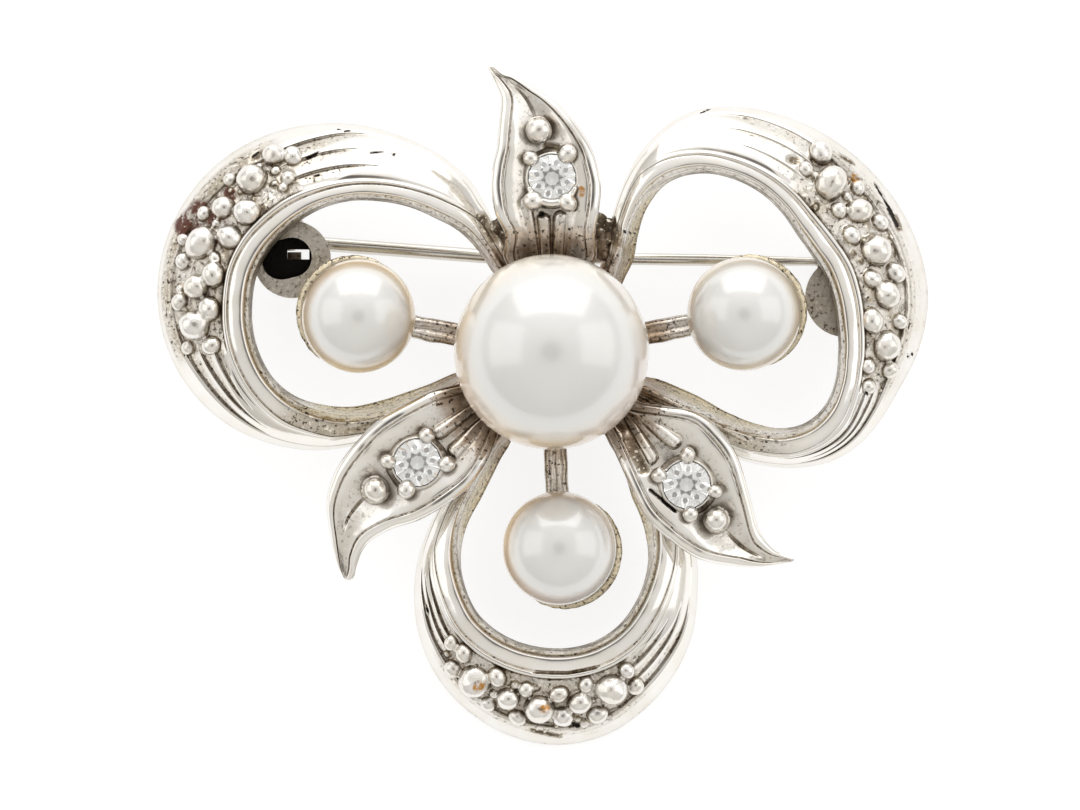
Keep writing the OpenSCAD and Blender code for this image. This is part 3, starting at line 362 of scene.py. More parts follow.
def lanes(row):
    """Across a ribbon: its start, width, rail width and ridge width, and its field's start and end."""
    opening, outer, foot, _, rail_share, border_share = row[1:]
    r0 = opening + foot
    w = outer - r0
    rail = np.minimum(RAIL_W * rail_share, 0.62 * w)
    ridge = np.minimum(RIDGE_W, 0.3 * (w - rail)) * (0.4 + 0.6 * border_share)
    f0 = r0 + rail + ridge
    f1 = outer - np.minimum(BORDER_W * border_share, 0.35 * (outer - f0))
    return r0, w, rail, ridge, f0, f1


def face_height(row, r):
    """Height of a ribbon's plain face at a radius: level over the rail, then falling outwards."""
    r0, w, rail = lanes(row)[:3]
    outer, height_share = row[2], row[4]
    start = r0 + 0.38 * rail
    t = np.maximum(0, r - start) / (outer - start)
    return height_share * CREST - FALL * w * t * t


def flutes_at(beaded, a, p):
    """Depth share of the flutes at an angle and a place across the field: deep at the outer side."""
    k = np.minimum(np.floor(p * FLUTES), FLUTES - 1).astype(int)
    late = np.array(FLUTE_LATE)[k]
    early = np.array(FLUTE_EARLY)[k]
    along = ease((a - beaded[0] + FLUTE_REACH - early) / 26) * ease((beaded[1] + FLUTE_REACH - late - a) / 26)
    width = 0.16 + 0.74 * along
    x = (p * FLUTES - k - 0.93 + width) / width
    return along ** 0.5 * (1 - bed_at(beaded, a)) * np.clip(x, 0, 1) ** 0.9 * ease((1.03 - x) / 0.12)


def ribbon_section(row, beaded, lined, sandy, dulled_and_shaded, a):
    """One section across a ribbon: each point's radius and height, how rough it is, and how tarnished and
    darkened with painted shade it is.
    """
    ri, ro, foot, share = row[1:5]
    r0, w, rail, ridge, f0, f1 = lanes(row)
    crest = share * CREST
    broad = ease((w - 1.1) / 1.6)
    low = (1 - broad) * INNER_BACK
    wall = min(0.45, 0.4 * w)
    hollow = 0.45 * broad * crest
    bed = float(bed_at(beaded, a))
    # Painted shade, with more roughness, on the rail over the turns listed for this petal
    dull_and_shade = max(float(ease((a - first) / 18) * ease((last - a) / 18)) * much for first, last, much in dulled_and_shaded)
    footed = float(ease((foot - 0.06) / 0.2))
    out = []

    # The opening's wall
    t = np.linspace(0, 1, WALL_POINTS, endpoint=False)
    z_foot = INNER_BACK + (crest - RAIL_DROP - INNER_BACK) * t ** (1 + 1.2 * ease(foot / 0.3))
    # Painted shade: the opening's wall is darkened nearly to black, less where a foot runs inside the rail
    worn_and_shaded = np.full(len(t), 1.7 - 1.05 * footed)
    out.append((ri + foot * t, z_foot, np.full(len(t), 0.5 + 0.5 * footed), worn_and_shaded))

    # The rail, rounded down to both sides
    t = np.linspace(0, 1, RAIL_POINTS, endpoint=False)
    end_drop = crest - (face_height(row, r0 + rail) - 0.03 - 0.03 * broad)
    inner = RAIL_DROP * np.maximum(0, 1 - t / 0.42) ** 2.1
    outer = end_drop * np.maximum(0, (t - 0.32) / 0.68) ** 2
    # The rail's inner side is darkened: streaks along it together with painted shade, and more painted shade
    # over the shaded turns
    streak_and_shade = (0.4 + 0.85 * lined) * (0.85 * (1 - ease((t - 0.20) / 0.12)) + 0.7 * (1 - ease(t / 0.06)))
    rough = 0.4 * (1 - ease((t - 0.2) / 0.15)) + 0.45 * dull_and_shade
    out.append((r0 + rail * t, crest - inner - outer, rough, np.maximum(streak_and_shade, 0.7 * dull_and_shade)))

    # The ridge, with a groove before it and a step down to the field after it
    t = np.linspace(0, 1, RIDGE_POINTS, endpoint=False)
    r = r0 + rail + ridge * t
    groove = (0.04 + 0.05 * lined) * np.maximum(0, 1 - t / 0.25)
    bump = (0.01 + 0.07 * lined) * broad * np.sin(math.pi * np.clip((t - 0.2) / 0.8, 0, 1)) ** 0.7
    step = (0.04 * broad + BED_D * bed) * ease((t - 0.8) / 0.2)
    # Painted shade in the groove before the ridge and at the step down to the bed of beads
    worn_and_shaded = np.maximum(1.3 * lined * (groove > 0.02), (0.3 + 0.5 * lined) * (t > 0.85) * bed)
    out.append((r, face_height(row, r) - groove + bump - step, np.zeros(len(t)), worn_and_shaded))

    # The field, with flutes or the sunk bed of the beads
    t = np.linspace(0, 1, FIELD_POINTS, endpoint=False)
    r = f0 + (f1 - f0) * t
    sink = 0.04 * broad * (1 - ease(t / 0.12)) + BED_D * bed * (1 - ease((t - 0.90) / 0.10))
    flute = flutes_at(beaded, a, t)
    # Painted shade in the flutes and on the sunk bed of the beads
    worn_and_shaded = (0.25 + 0.5 * lined) * bed + (0.2 + 0.6 * lined) * ease(flute * 2.0)
    cut = FLUTE_D * (0.35 + 0.93 * lined) * flute
    out.append((r, face_height(row, r) - sink - cut, 0.75 * bed + 0.5 * flute, worn_and_shaded))

    # The border, and after it the outer wall and the hollow back
    t = np.linspace(0, 1, BORDER_POINTS)
    r = f1 + (ro - f1) * t
    lip = 0.03 * np.sin(math.pi * np.clip(t / 0.45, 0, 1)) - 0.14 * np.maximum(0, (t - 0.5) / 0.5) ** 2
    worn_and_shaded = 0.10 * bed + 0.2 * ease((t - 0.8) / 0.2) + 0.3 * bed * (t < 0.4)
    sand = sandy * bed * (1 - ease((t - 0.55) / 0.2))
    rough = np.maximum(0.3 * bed * (t < 0.5), 1.2 * sand)
    out.append((r, face_height(row, r) + lip * min(1, w), rough, worn_and_shaded + sand))
    back = np.array([
        [ro - 0.01, 0.55 * (face_height(row, ro) - 0.13) + 0.45 * low], [ro - 0.06, low + 0.05],
        [ro - 0.12, low], [ro - wall, low], [ro - wall - 0.1 * w, low + hollow * 0.7],
        [r0 + 0.55 * rail + 0.12 * w, INNER_BACK + hollow], [r0 + 0.5 * rail, INNER_BACK],
        [ri + 0.04, INNER_BACK]])
    out.append((back[:, 0], back[:, 1], np.full(BACK_POINTS, 0.45), np.full(BACK_POINTS, 0.20)))
    return [np.concatenate([o[k] for o in out]) for k in range(4)]


def petal(name, centre, table, beaded, lined, sandy, dulled_and_shaded, seed):
    """A looped ribbon, from its sections; lined is how sharp its lines are and how dark their painted shade
    is, sandy how rough its border is.
    """
    angles = np.linspace(table[0][0], table[-1][0], PETAL_SECTIONS)
    rings, rough, tarnish_and_shade = [], [], []
    for a, row in zip(angles, through(table, angles)):
        r, z, roughs, tarnishes_and_shades = ribbon_section(row, beaded, lined, sandy, dulled_and_shaded, a)
        rings.append(spot(centre, r, a, z))
        rough.append(roughs)
        tarnish_and_shade.append(tarnishes_and_shades)
    n = len(rings[0])
    points = np.concatenate(rings)
    rough = np.concatenate(rough)
    above = points[:, 2] > 0.8
    # Marks stay off the back
    front = np.tile(np.arange(n) < n - BACK_POINTS, len(rings))
    points[:, 2] += (0.014 * wobble(points, 2.2, seed) + 0.005 * wobble(points, 7, seed + 2)) * above
    points[:, 2] += 0.035 * wobble(points, 15, seed + 1) * (rough > 0.7) * above
    sunk = marked(points, HOLLOWS) * front
    points[:, 2] -= np.maximum(0.06 * sunk, 0.10 * marked(points, PITS) * front) * above
    # Painted shade in the hollows
    tarnish_and_shade = np.maximum(np.concatenate(tarnish_and_shade), HOLLOW_SHADE * sunk * above)
    attributes = {"rough": rough, "tarnish_and_shade": tarnish_and_shade, "front": front}
    return object_from(name, points, tube_faces(len(rings), n, turned=True), attributes=attributes)


def melted(piece, voxel, rounds, height):
    """Melts a piece's shapes into one skin, as in a casting; height gives the floor about the beads."""
    melt = piece.modifiers.new("melt", "REMESH")
    melt.mode = "VOXEL"
    melt.voxel_size = voxel * MM
    soften = piece.modifiers.new("soften", "SMOOTH")
    soften.factor = 0.5
    soften.iterations = rounds
    bpy.context.view_layer.update()
    mesh = bpy.data.meshes.new_from_object(piece.evaluated_get(bpy.context.evaluated_depsgraph_get()))
    co = np.zeros(len(mesh.vertices) * 3, np.float32)
    mesh.vertices.foreach_get("co", co)
    world = co.reshape(-1, 3).astype(float)
    points = (world - PLACE_ARRAY[:3, 3]) @ np.linalg.inv(PLACE_ARRAY[:3, :3]).T
    faces = [list(f.vertices) for f in mesh.polygons]
    name = piece.name
    bpy.data.objects.remove(piece)
    bpy.data.meshes.remove(mesh)
    proud = ease((points[:, 2] - height(points) - 0.03) / 0.16)
    # Painted shade: darker on the floor between the beads, darkest in a ring round each bead's foot
    foot = 4 * proud * (1 - proud)
    tarnish_and_shade = 0.14 + 0.50 * (1 - proud) + 1.2 * foot
    attributes = {"rough": 0.80 - 0.15 * proud, "tarnish_and_shade": tarnish_and_shade, "proud": proud}
    return object_from(name, points, faces, attributes=attributes)


def bead_bed(pile, centre, table, beaded, seed):
    """The rough floor that a petal's beads are melted into."""
    angles = np.linspace(beaded[0] + 1.5, beaded[1] - 1.5, 150)
    rings = []
    for a, row in zip(angles, through(table, angles)):
        f0, f1 = lanes(row)[4:]
        r = np.linspace(f0 - 0.02, f1 + 0.02, 26)
        top = face_height(row, r) - BED_D + 0.015
        flat = spot((0, 0), r, a, 0 * r)
        top = top + 0.035 * wobble(flat, 9, seed + 5) + 0.02 * wobble(flat, 22, seed + 6)
        rings.append(spot(centre, np.concatenate([r, r[::-1]]), a, np.concatenate([top, top[::-1] - 0.22])))
    pile.add(np.concatenate(rings), tube_faces(len(rings), len(rings[0]), turned=True), 0.5)


def petal_beads(name, centre, table, beaded, beads, seed):
    """The beads of a petal, with small granules between them."""
    pile = Pile()
    bead_bed(pile, centre, table, beaded, seed)
    pick = np.random.default_rng(seed)
    every = [list(b) for b in beads]
    for _ in range(GRANULE_TRIES):
        a = pick.uniform(beaded[0] + 3, beaded[1] - 3)
        f0, f1 = lanes(through(table, a)[0])[4:]
        r = pick.uniform(f0 + 0.12, f1 - 0.10)
        d = pick.uniform(0.22, 0.44)
        here = spot((0, 0), r, a, 0)
        free = all(np.linalg.norm(here - spot((0, 0), b[1], b[0], 0)) > 0.40 * (b[2] + d) for b in every)
        if free and len(every) < len(beads) + GRANULES:
            every.append([a, r, d])
    for i, (a, r, d) in enumerate(every):
        row = through(table, a)[0]
        small = i >= len(beads)
        z = face_height(row, r) - BED_D + d * (0.0 if small else pick.uniform(0.06, 0.20))
        p, f = ball(d / 2, 14 if small else 28, 8 if small else 18, 0.95)
        p = p * (1 + 0.08 * wobble(p + 10 * i, 4.5, seed + i)[:, None])
        p = uneven(p, 0.03, 14, seed + 2 * i)
        squeeze = pick.uniform(0.0, 0.20)
        turn = pick.uniform(0, math.pi)
        along = p[:, 0] * math.cos(turn) + p[:, 1] * math.sin(turn)
        p = p + (squeeze * along)[:, None] * np.array([math.cos(turn), math.sin(turn), 0])
        pile.add(p + spot(centre, r, a, z), f, 0.3)

    def floor_height(points):
        off = points[:, :2] - centre
        a = np.degrees(np.arctan2(off[:, 1], off[:, 0]))
        a = np.where(a < beaded[0] - 60, a + 360, a)
        rows = through(table, np.clip(a, beaded[0], beaded[1]))
        return face_height(rows.T, np.hypot(off[:, 0], off[:, 1])) - BED_D
    return melted(pile.made(name), BEADS_VOXEL, 2, floor_height)


# Leaves, and the stones' girdles: their radius and height
STONE_R = 0.85
GIRDLE_H = 3.55
LEAF_SECTIONS = 230
RIM_CUT = 0.09


def leaf(name, angle, table, stone_at, cones, crease_end, crease_shade, seed):
    """A leaf with raised rims about a trough, cones that run from its foot, and a seat for the stone."""
    stone_along, stone_across = stone_at
    along = np.linspace(table[0][0], table[-1][0], LEAF_SECTIONS)
    v = np.concatenate([np.linspace(0, 0.20, 22, endpoint=False), np.linspace(0.20, 0.80, 80, endpoint=False),
                        np.linspace(0.80, 1, 23)])
    rings, rough, tarnish_and_shade = [], [], []
    for s, right, left, z in through(table, along):
        w = max(left - right, 0.02)
        full = min(1, w / 1.6)
        rim = min(0.40, 0.26 * w) / w
        dip = 0.45 * min(1, w / 1.8) * (1 - 0.75 * float(ease((s - crease_end + 1.0) / 1.2)))
        edge = np.minimum(v, 1 - v)
        lift = np.where(edge < rim * 0.6, -0.15 * full * (1 - edge / (rim * 0.6)) ** 2, 0)
        cut = RIM_CUT * full * ease((edge / rim - 0.92) / 0.12)
        inside = np.clip((edge - rim) / (0.5 - rim), 0, 1)
        tipward = float(ease((s - stone_along - 1.9) / 0.7))
        bowl = (1 - tipward) * ease(inside * 1.1) + tipward * inside
        face = z + lift - cut - (dip - RIM_CUT * full) * bowl
        q = right + w * v
        middle = (left + right) / 2
        line = np.exp(-(((edge - rim) * w / 0.03) ** 2)) * full
        crease = tipward * (1 - float(ease((s - crease_end + 0.3) / 0.5)))
        valley = np.exp(-(((q - middle) / 0.045) ** 2)) * crease
        face = face - 0.06 * line - 0.07 * valley
        side = np.zeros(len(q))
        for at_start, at_end, start, end, r_start, r_end in cones:
            if start <= s <= end:
                t = (s - start) / (end - start)
                centre = at_start + (at_end - at_start) * t
                r = (r_start + (r_end - r_start) * t) * math.sqrt(1 - max(0.0, t - 0.9) ** 2 / 0.0105)
                r = max(r, 0.02)
                bulge = np.sqrt(np.maximum(0, r * r - (q - centre) ** 2))
                shown = float(ease((z - dip + r - face[np.argmin(np.abs(q - centre))]) / 0.12))
                face = np.maximum(face, z - dip - 0.02 + 1.05 * bulge * (bulge > 0))
                side = np.maximum(side, shown * np.exp(-(((np.abs(q - centre) - r) / 0.05) ** 2)))
        from_stone = np.hypot(s - stone_along, q - stone_across)
        seat = GIRDLE_H - 0.86 + 0.76 * from_stone / STONE_R
        face = np.where(from_stone < STONE_R, np.minimum(face, seat), face)
        under = 0.8 * (0.45 + 0.55 * min(1, w / 1.5)) + 0.12 * math.exp(-((s - stone_along) / 0.5) ** 2)
        back_q = np.array([left - 0.1 * w, (left + right) / 2, right + 0.1 * w])
        back_z = np.array([z - 0.7 * under, z - 0.3 * dip - under, z - 0.7 * under])
        across, up = np.concatenate([q, back_q]), np.concatenate([face, back_z])
        rings.append(np.stack([np.full(len(across), s), across, up], -1))
        rough.append(np.concatenate([0.45 * ease((inside - 0.1) / 0.3), [0.5] * 3]))
        # Painted shade in the crease and along the sides of the cones, with dark lines along the rims
        dark = np.maximum(np.maximum(1.1 * line, crease_shade * valley), 0.9 * side)
        tarnish_and_shade.append(np.concatenate([np.maximum(dark, 0.36 * ease(inside * 2)), [0.5] * 3]))
    points = rotated(np.concatenate(rings), angle)
    points[:, 2] += 0.014 * wobble(points, 3.5, seed) + 0.006 * wobble(points, 9, seed + 1)
    above = points[:, 2] > 2.6
    sunk = marked(points, HOLLOWS)
    points[:, 2] -= np.maximum(0.08 * sunk, 0.10 * marked(points, PITS)) * above
    # Painted shade in the hollows
    tarnish_and_shade = np.maximum(np.concatenate(tarnish_and_shade), HOLLOW_SHADE * sunk * above)
    attributes = {"rough": np.concatenate(rough), "tarnish_and_shade": tarnish_and_shade}
    return object_from(name, points, tube_faces(len(rings), len(rings[0])), attributes=attributes)


# Settings, beads and cut stones
PRONG_OUT = 0.22
BEAD_H = 3.42
TROUGH_H = 3.10
SETTING_VOXEL = 0.035
CRESCENT_TURNS = 40
CRESCENT_SIDES = 12


def setting(name, at, prongs, prong_r, bead, crescent, seed):
    """The collar round a stone with its prong beads, the leaf's own bead, and for one a crescent of metal."""
    pile = Pile()
    middle = [at[0], at[1], 0]
    pick = np.random.default_rng(seed)
    r = STONE_R + 0.01
    profile = [
        [r + 0.34, GIRDLE_H - 0.75], [r + 0.22, GIRDLE_H - 0.35], [r + 0.12, GIRDLE_H - 0.12],
        [r + 0.06, GIRDLE_H - 0.03], [r, GIRDLE_H - 0.02], [r - 0.02, GIRDLE_H - 0.12],
        [0.05, GIRDLE_H - 0.95], [0.05, GIRDLE_H - 1.1]]
    p, f = lathe(profile, 96)
    turn = np.arctan2(p[:, 1], p[:, 0])
    corner = sum(np.exp(-((np.angle(np.exp(1j * (turn - math.radians(a)))) / 0.40) ** 2)) for a in prongs)
    out = np.hypot(p[:, 0], p[:, 1]) > r + 0.12
    p[:, :2] *= (1 + out * 0.06 * corner)[:, None]
    p += 0.025 * wobble(p, 7, seed + 60)[:, None] * out[:, None]
    pile.add(p + middle, f)
    for i, a in enumerate(prongs):
        rad = math.radians(a)
        reach = STONE_R + PRONG_OUT
        p, f = ball(prong_r, 24, 14, 0.9)
        inward = pick.uniform(0.0, 0.35) * np.maximum(0, -(p[:, 0] * math.cos(rad) + p[:, 1] * math.sin(rad)))
        p = uneven(p, 0.10, 5, seed + i)
        p[:, :2] -= inward[:, None] * [math.cos(rad), math.sin(rad)]
        p *= pick.uniform(0.82, 1.08)
        pile.add(p + spot(at, reach, a, GIRDLE_H + 0.02), f)
        p, f = ball(0.72 * prong_r, 20, 12, 1.4)
        pile.add(p + spot(at, reach, a, GIRDLE_H - 0.28), f)
    bead_x, bead_y, bead_d = bead
    bead_r = bead_d / 2
    p, f = ball(bead_r, 28, 16, 0.95)
    p = uneven(p, 0.07, 4, seed + 70)
    pile.add(p + [bead_x, bead_y, BEAD_H], f)
    foot = [[bead_r + 0.12, 2.75], [bead_r + 0.07, 3.10], [bead_r - 0.06, 3.16], [0.02, 3.16], [0.02, 2.7]]
    p, f = lathe(foot, 40)
    pile.add(p + [bead_x, bead_y, 0], f)
    if crescent:
        turns = np.radians(np.linspace(200, 340, CRESCENT_TURNS))
        sides = np.linspace(0, 2 * math.pi, CRESCENT_SIDES, endpoint=False)
        thick = 0.17 * np.sin(np.linspace(0.25, math.pi - 0.25, CRESCENT_TURNS)) ** 0.5
        ring_r = STONE_R + 0.04 + thick[:, None] * np.cos(sides)
        p = np.stack([ring_r * np.cos(turns)[:, None], ring_r * np.sin(turns)[:, None],
                      GIRDLE_H + 0.02 + thick[:, None] * np.sin(sides)], -1)
        pile.add(p.reshape(-1, 3) + middle, tube_faces(CRESCENT_TURNS, CRESCENT_SIDES, turned=True))

    def floor_height(points):
        within = np.hypot(points[:, 0] - at[0], points[:, 1] - at[1]) < STONE_R - 0.03
        return np.where(within, 0.0, TROUGH_H)
    return melted(pile.made(name), SETTING_VOXEL, 1, floor_height)


# Rings of a cut stone's corners: how many, how far turned on, share of the stone's radius, and height.
# They are the table, the kites' points, the girdle's upper and lower edge, and the facets below it
BRILLIANT_RINGS = (
    (8, 0, 0.60, 0.27), (8, 0.5, 0.81, 0.15), (16, 0, 1, 0), (16, 0, 1, -0.05), (8, 0.5, 0.60, -0.35))
CULET = -0.80
FIRST_BELOW = 32


def brilliant(name, at, turn):
    """A round cut stone: table, star, kite and upper facets, a girdle, and the mirrored facets below it."""
    corners = []
    for count, offset, share, height in BRILLIANT_RINGS:
        for k in range(count):
            corners.append(spot((0, 0), share * STONE_R, 360 * (k + offset) / count + turn, height))
    corners.append([0, 0, CULET])
    faces = [list(range(8))]
    for k in range(8):
        n = (k + 1) % 8
        p = (k - 1) % 8
        faces.append([k, 8 + k, n])
        faces.append([k, 8 + p, 16 + 2 * k, 8 + k])
        faces.append([8 + k, 16 + 2 * k, 16 + 2 * k + 1])
        faces.append([8 + k, 16 + 2 * k + 1, 16 + (2 * k + 2) % 16])
        faces.append([32 + 2 * k, 48 + k, 32 + 2 * k + 1])
        faces.append([32 + 2 * k + 1, 48 + k, 32 + (2 * k + 2) % 16])
        faces.append([32 + 2 * k, 48 + p, 56, 48 + k])
    for k in range(16):
        n = (k + 1) % 16
        faces.append([16 + k, 32 + k, 32 + n, 16 + n])
    points = np.array(corners) + [at[0], at[1], GIRDLE_H]
    stone = object_from(name, points, faces, smooth=False)
    for polygon in stone.data.polygons:
        polygon.material_index = int(all(v >= FIRST_BELOW for v in polygon.vertices))
    return stone


# Pearls and their cups: sizes, heights and how far out the small ones are
CENTRE_PEARL_D = 7.0
CENTRE_PEARL_H = 5.0
SMALL_PEARL_D = 4.1
SMALL_PEARL_H = 3.3
SMALL_PEARL_OUT = 7.05
PEARL_GAP = 0.05
CUP_WALL = 0.14
CUP_SIDES = 120


def pearl(name, at, d, seed):
    """A pearl, a little out of round, with a painted warm reflection about its sides."""
    p, f = ball(d / 2, 96, 64)
    slope = p[:, 2] / (d / 2)
    side_reflection = ease((0.66 - slope) / 0.40) * ease((slope + 0.5) / 0.3)
    side_reflection_tint = side_reflection * (0.6 + 0.4 * wobble(p / d, 3.0, seed + 7))
    p = uneven(p, 0.0025, 1.2, seed)
    return object_from(name, p + at, f, attributes={"side_reflection": np.clip(side_reflection_tint, 0, 1)})


def cup(pile, angle, lean, seed):
    """A small pearl's cup, whose rim stands proud on one side, and its stem."""
    h = SMALL_PEARL_H
    inner = SMALL_PEARL_D / 2 + PEARL_GAP
    outer = inner + CUP_WALL
    lats = np.linspace(-90, -26, 26)
    out = [[outer * math.cos(math.radians(t)), h + outer * math.sin(math.radians(t))] for t in lats]
    rim = [[outer - 0.24, h - 0.82], [inner - 0.16, h - 0.84]]
    into = [[inner * math.cos(math.radians(t)), h + inner * math.sin(math.radians(t))] for t in lats[::-1]]
    profile = out + rim + into
    p, f = lathe(profile, CUP_SIDES)
    outside = np.tile(np.arange(len(profile)) <= len(out), CUP_SIDES)
    turn = np.arctan2(p[:, 1], p[:, 0]) - math.radians(lean)
    thick = 0.30 * np.maximum(0, np.cos(turn)) ** 0.8 * ease((p[:, 2] - (h - 2.1)) / 1.0) * outside
    flat = np.hypot(p[:, 0], p[:, 1]) + 1e-6
    p[:, :2] *= (1 + thick / flat)[:, None]
    p += 0.012 * wobble(p, 16, seed)[:, None] * outside[:, None]
    pile.add(p + spot((0, 0), SMALL_PEARL_OUT, angle, 0), [q[::-1] for q in f], 1.0, 0.8)

    # The stem: its section across and up, carried along from the boss to the cup
    steps = np.linspace(2.1, 5.3, 40)
    side = np.array([
        [-0.40, 1.25], [0.40, 1.25], [0.42, 1.75], [0.36, 1.98], [0.22, 2.03], [0.10, 1.97],
        [0.0, 1.90], [-0.10, 1.97], [-0.22, 2.03], [-0.36, 1.98], [-0.42, 1.75]])
    p = np.concatenate([np.stack([np.full(len(side), s), side[:, 0], side[:, 1]], -1) for s in steps])
    p[:, 1:] += 0.02 * wobble(p, 9, seed + 2)[:, None]
    pile.add(rotated(p, angle), tube_faces(len(steps), len(side)), 0.8, 0.55)


# Each petal: centre, table, from where to where it is beaded, beads, how lined and how sandy it is, and where
# its rail is duller and darkened with painted shade: from and to in degrees, and how much
PETALS = {
    "left_petal": ((-7.23, 1.87), LEFT_PETAL, (112, 203), LEFT_BEADS, 0.7, 0.55,
                   ((232, 350, 1.25), (-20, 40, 0.6))),
    "right_petal": ((6.59, 2.05), RIGHT_PETAL, (-38, 64), RIGHT_BEADS, 0.3, 0.08,
                    ((-170, -62, 0.9), (150, 215, 0.7))),
    "lower_petal": ((0.20, -7.47), LOWER_PETAL, (214, 308), LOWER_BEADS, 0.6, 0.05,
                    ((90, 165, 0.9), (372, 450, 0.9))),
}
# Each leaf: angle, table, the stone's place along and across, cones, and its crease's end and how dark the
# painted shade in it is
LEAVES = {
    "top_leaf": (90, TOP_LEAF, (6.25, -0.02), TOP_CONES, 9.55, 0.8),
    "left_leaf": (220, LEFT_LEAF, (6.26, -0.06), LEFT_CONES, 9.75, 1.5),
    "right_leaf": (319, RIGHT_LEAF, (6.80, -0.41), RIGHT_CONES, 10.5, 0.9),
}
# Each stone: place, and turn in degrees
STONES = {"top": ((0.02, 6.25), 8), "left": ((-4.83, -3.98), 31), "right": ((4.86, -4.77), 17)}
# Each setting: its prongs' angles and radius, and the place and diameter of the leaf's bead
SETTINGS = {
    "top": ((58, 137, 230, 302), 0.33, (-0.45, 7.97, 0.95)),
    "left": ((-2, 70, 178, 249), 0.31, (-6.34, -4.95, 0.90)),
    "right": ((-82, -14, 88, 161), 0.27, (5.94, -6.03, 0.86)),
}
# Each small pearl: angle about the flower's axis, and the direction in which its cup's rim stands proud
SMALL_PEARLS = {"left_pearl": (169.5, 145), "right_pearl": (11.2, 20), "lower_pearl": (272.3, -35)}

metal_pieces = []
for i, (name, (centre, table, beaded, _, *looks)) in enumerate(PETALS.items()):
    metal_pieces.append(petal(name, centre, table, beaded, *looks, 1 + i))
for i, (name, (centre, table, beaded, beads, *_)) in enumerate(PETALS.items()):
    metal_pieces.append(petal_beads(name + "_beads", centre, table, beaded, beads, 11 + i))
for i, (name, facts) in enumerate(LEAVES.items()):
    metal_pieces.append(leaf(name, *facts, 21 + i))
for i, (place, (prongs, prong_r, bead)) in enumerate(SETTINGS.items()):
    at = STONES[place][0]
    metal_pieces.append(setting(place + "_leaf_setting", at, prongs, prong_r, bead, place == "top", 89 + i))

# Cups, stems, the boss under the large pearl, and the solder, in one piece
findings = Pile()
PEARLS = {"centre_pearl": (np.array([0, 0, CENTRE_PEARL_H]), CENTRE_PEARL_D)}
for i, (node, (angle, lean)) in enumerate(SMALL_PEARLS.items()):
    cup(findings, angle, lean, 31 + i)
    PEARLS[node] = (spot((0, 0), SMALL_PEARL_OUT, angle, SMALL_PEARL_H), SMALL_PEARL_D)
seat_r = CENTRE_PEARL_D / 2 + PEARL_GAP
seat_arc = []
for t in np.radians((-44, -52, -64, -76, -88)):
    seat_arc.append([seat_r * math.cos(t), CENTRE_PEARL_H + seat_r * math.sin(t)])
boss = [[0.02, 0.7], [2.25, 0.7], [2.35, 0.75], [2.72, 2.25], [2.68, 2.33]] + seat_arc + [[0.02, 1.45]]
p, f = lathe(boss, 96)
findings.add(p, f, 0.8, 0.6)
for x, y, r in SOLDER:
    p, f = ball(r, 32, 20)
    p = p * (1 + 0.25 * wobble(p, 4, 36)[:, None] + 0.16 * wobble(p + [x, y, 0], 13, 37)[:, None])
    findings.add(p + [x, y, SOLDER_H], f, 0.8, 2.3)
metal_pieces.append(findings.made("cups_and_stems"))


def dressed(piece, node):
    """The piece, put in the place of a node of the brooch."""
    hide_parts(node)
    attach(piece, "brooch")
    return piece


for piece in metal_pieces:
    dressed(piece, "flower_frame")
pearl_pieces = []
for i, (node, (at, d)) in enumerate(PEARLS.items()):
    pearl_pieces.append(dressed(pearl(node + "_round", at, d, 50 + i), node))
stone_pieces = []
for place, (at, turn) in STONES.items():
    stone = brilliant(place + "_leaf_brilliant", at, turn)
    stone_pieces.append(dressed(stone, place + "_leaf_stone"))


# Materials
class Nodes:
    """A node tree, filled one node at a time."""

    def __init__(self, tree):
        self.tree = tree

    def fill(self, node, values):
        """Sets a node's inputs, or links them where the value is another node's output."""
        for key, value in values.items():
            if isinstance(value, bpy.types.NodeSocket):
                self.tree.links.new(value, node.inputs[key])
            else:
                node.inputs[key].default_value = value

    def node(self, kind, values=None, **settings):
        made = self.tree.nodes.new(kind)
        for key, value in settings.items():
            setattr(made, key, value)
        self.fill(made, values or {})
        return made

    def math(self, how, a, b=0.5):
        return self.node("ShaderNodeMath", {0: a, 1: b}, operation=how).outputs[0]

    def plus(self, a, b):
        return self.math("ADD", a, b)

    def times(self, a, b):
        return self.math("MULTIPLY", a, b)

    def most(self, a, b):
        return self.math("MAXIMUM", a, b)

    def vector(self, how, values, output):
        return self.node("ShaderNodeVectorMath", values, operation=how).outputs[output]

    def ramp(self, value, low, high, out_low=0.0, out_high=1.0):
        """The value, mapped from between low and high to between the two outer values, and kept there."""
        spans = {"Value": value, "From Min": low, "From Max": high, "To Min": out_low, "To Max": out_high}
        return self.node("ShaderNodeMapRange", spans).outputs[0]

    def mix(self, factor, a, b, how="MIX"):
        values = {0: factor, 6: a, 7: b}
        return self.node("ShaderNodeMix", values, data_type="RGBA", blend_type=how).outputs[2]

    def noise(self, where, scale, detail, rough):
        values = {"Vector": where, "Scale": scale, "Detail": detail, "Roughness": rough}
        return self.node("ShaderNodeTexNoise", values).outputs[0]

    def mark(self, key):
        """What the piece's points hold under this name."""
        return self.node("ShaderNodeAttribute", attribute_name=key).outputs["Fac"]


class Shader(Nodes):
    """A material, whose nodes are added one by one."""

    def __init__(self, name):
        self.material = bpy.data.materials.new(name)
        self.material.use_nodes = True
        super().__init__(self.material.node_tree)

    def made(self, values):
        """The material, with the values in its own shader's sockets."""
        self.fill(self.tree.nodes["Principled BSDF"], values)
        return self.material


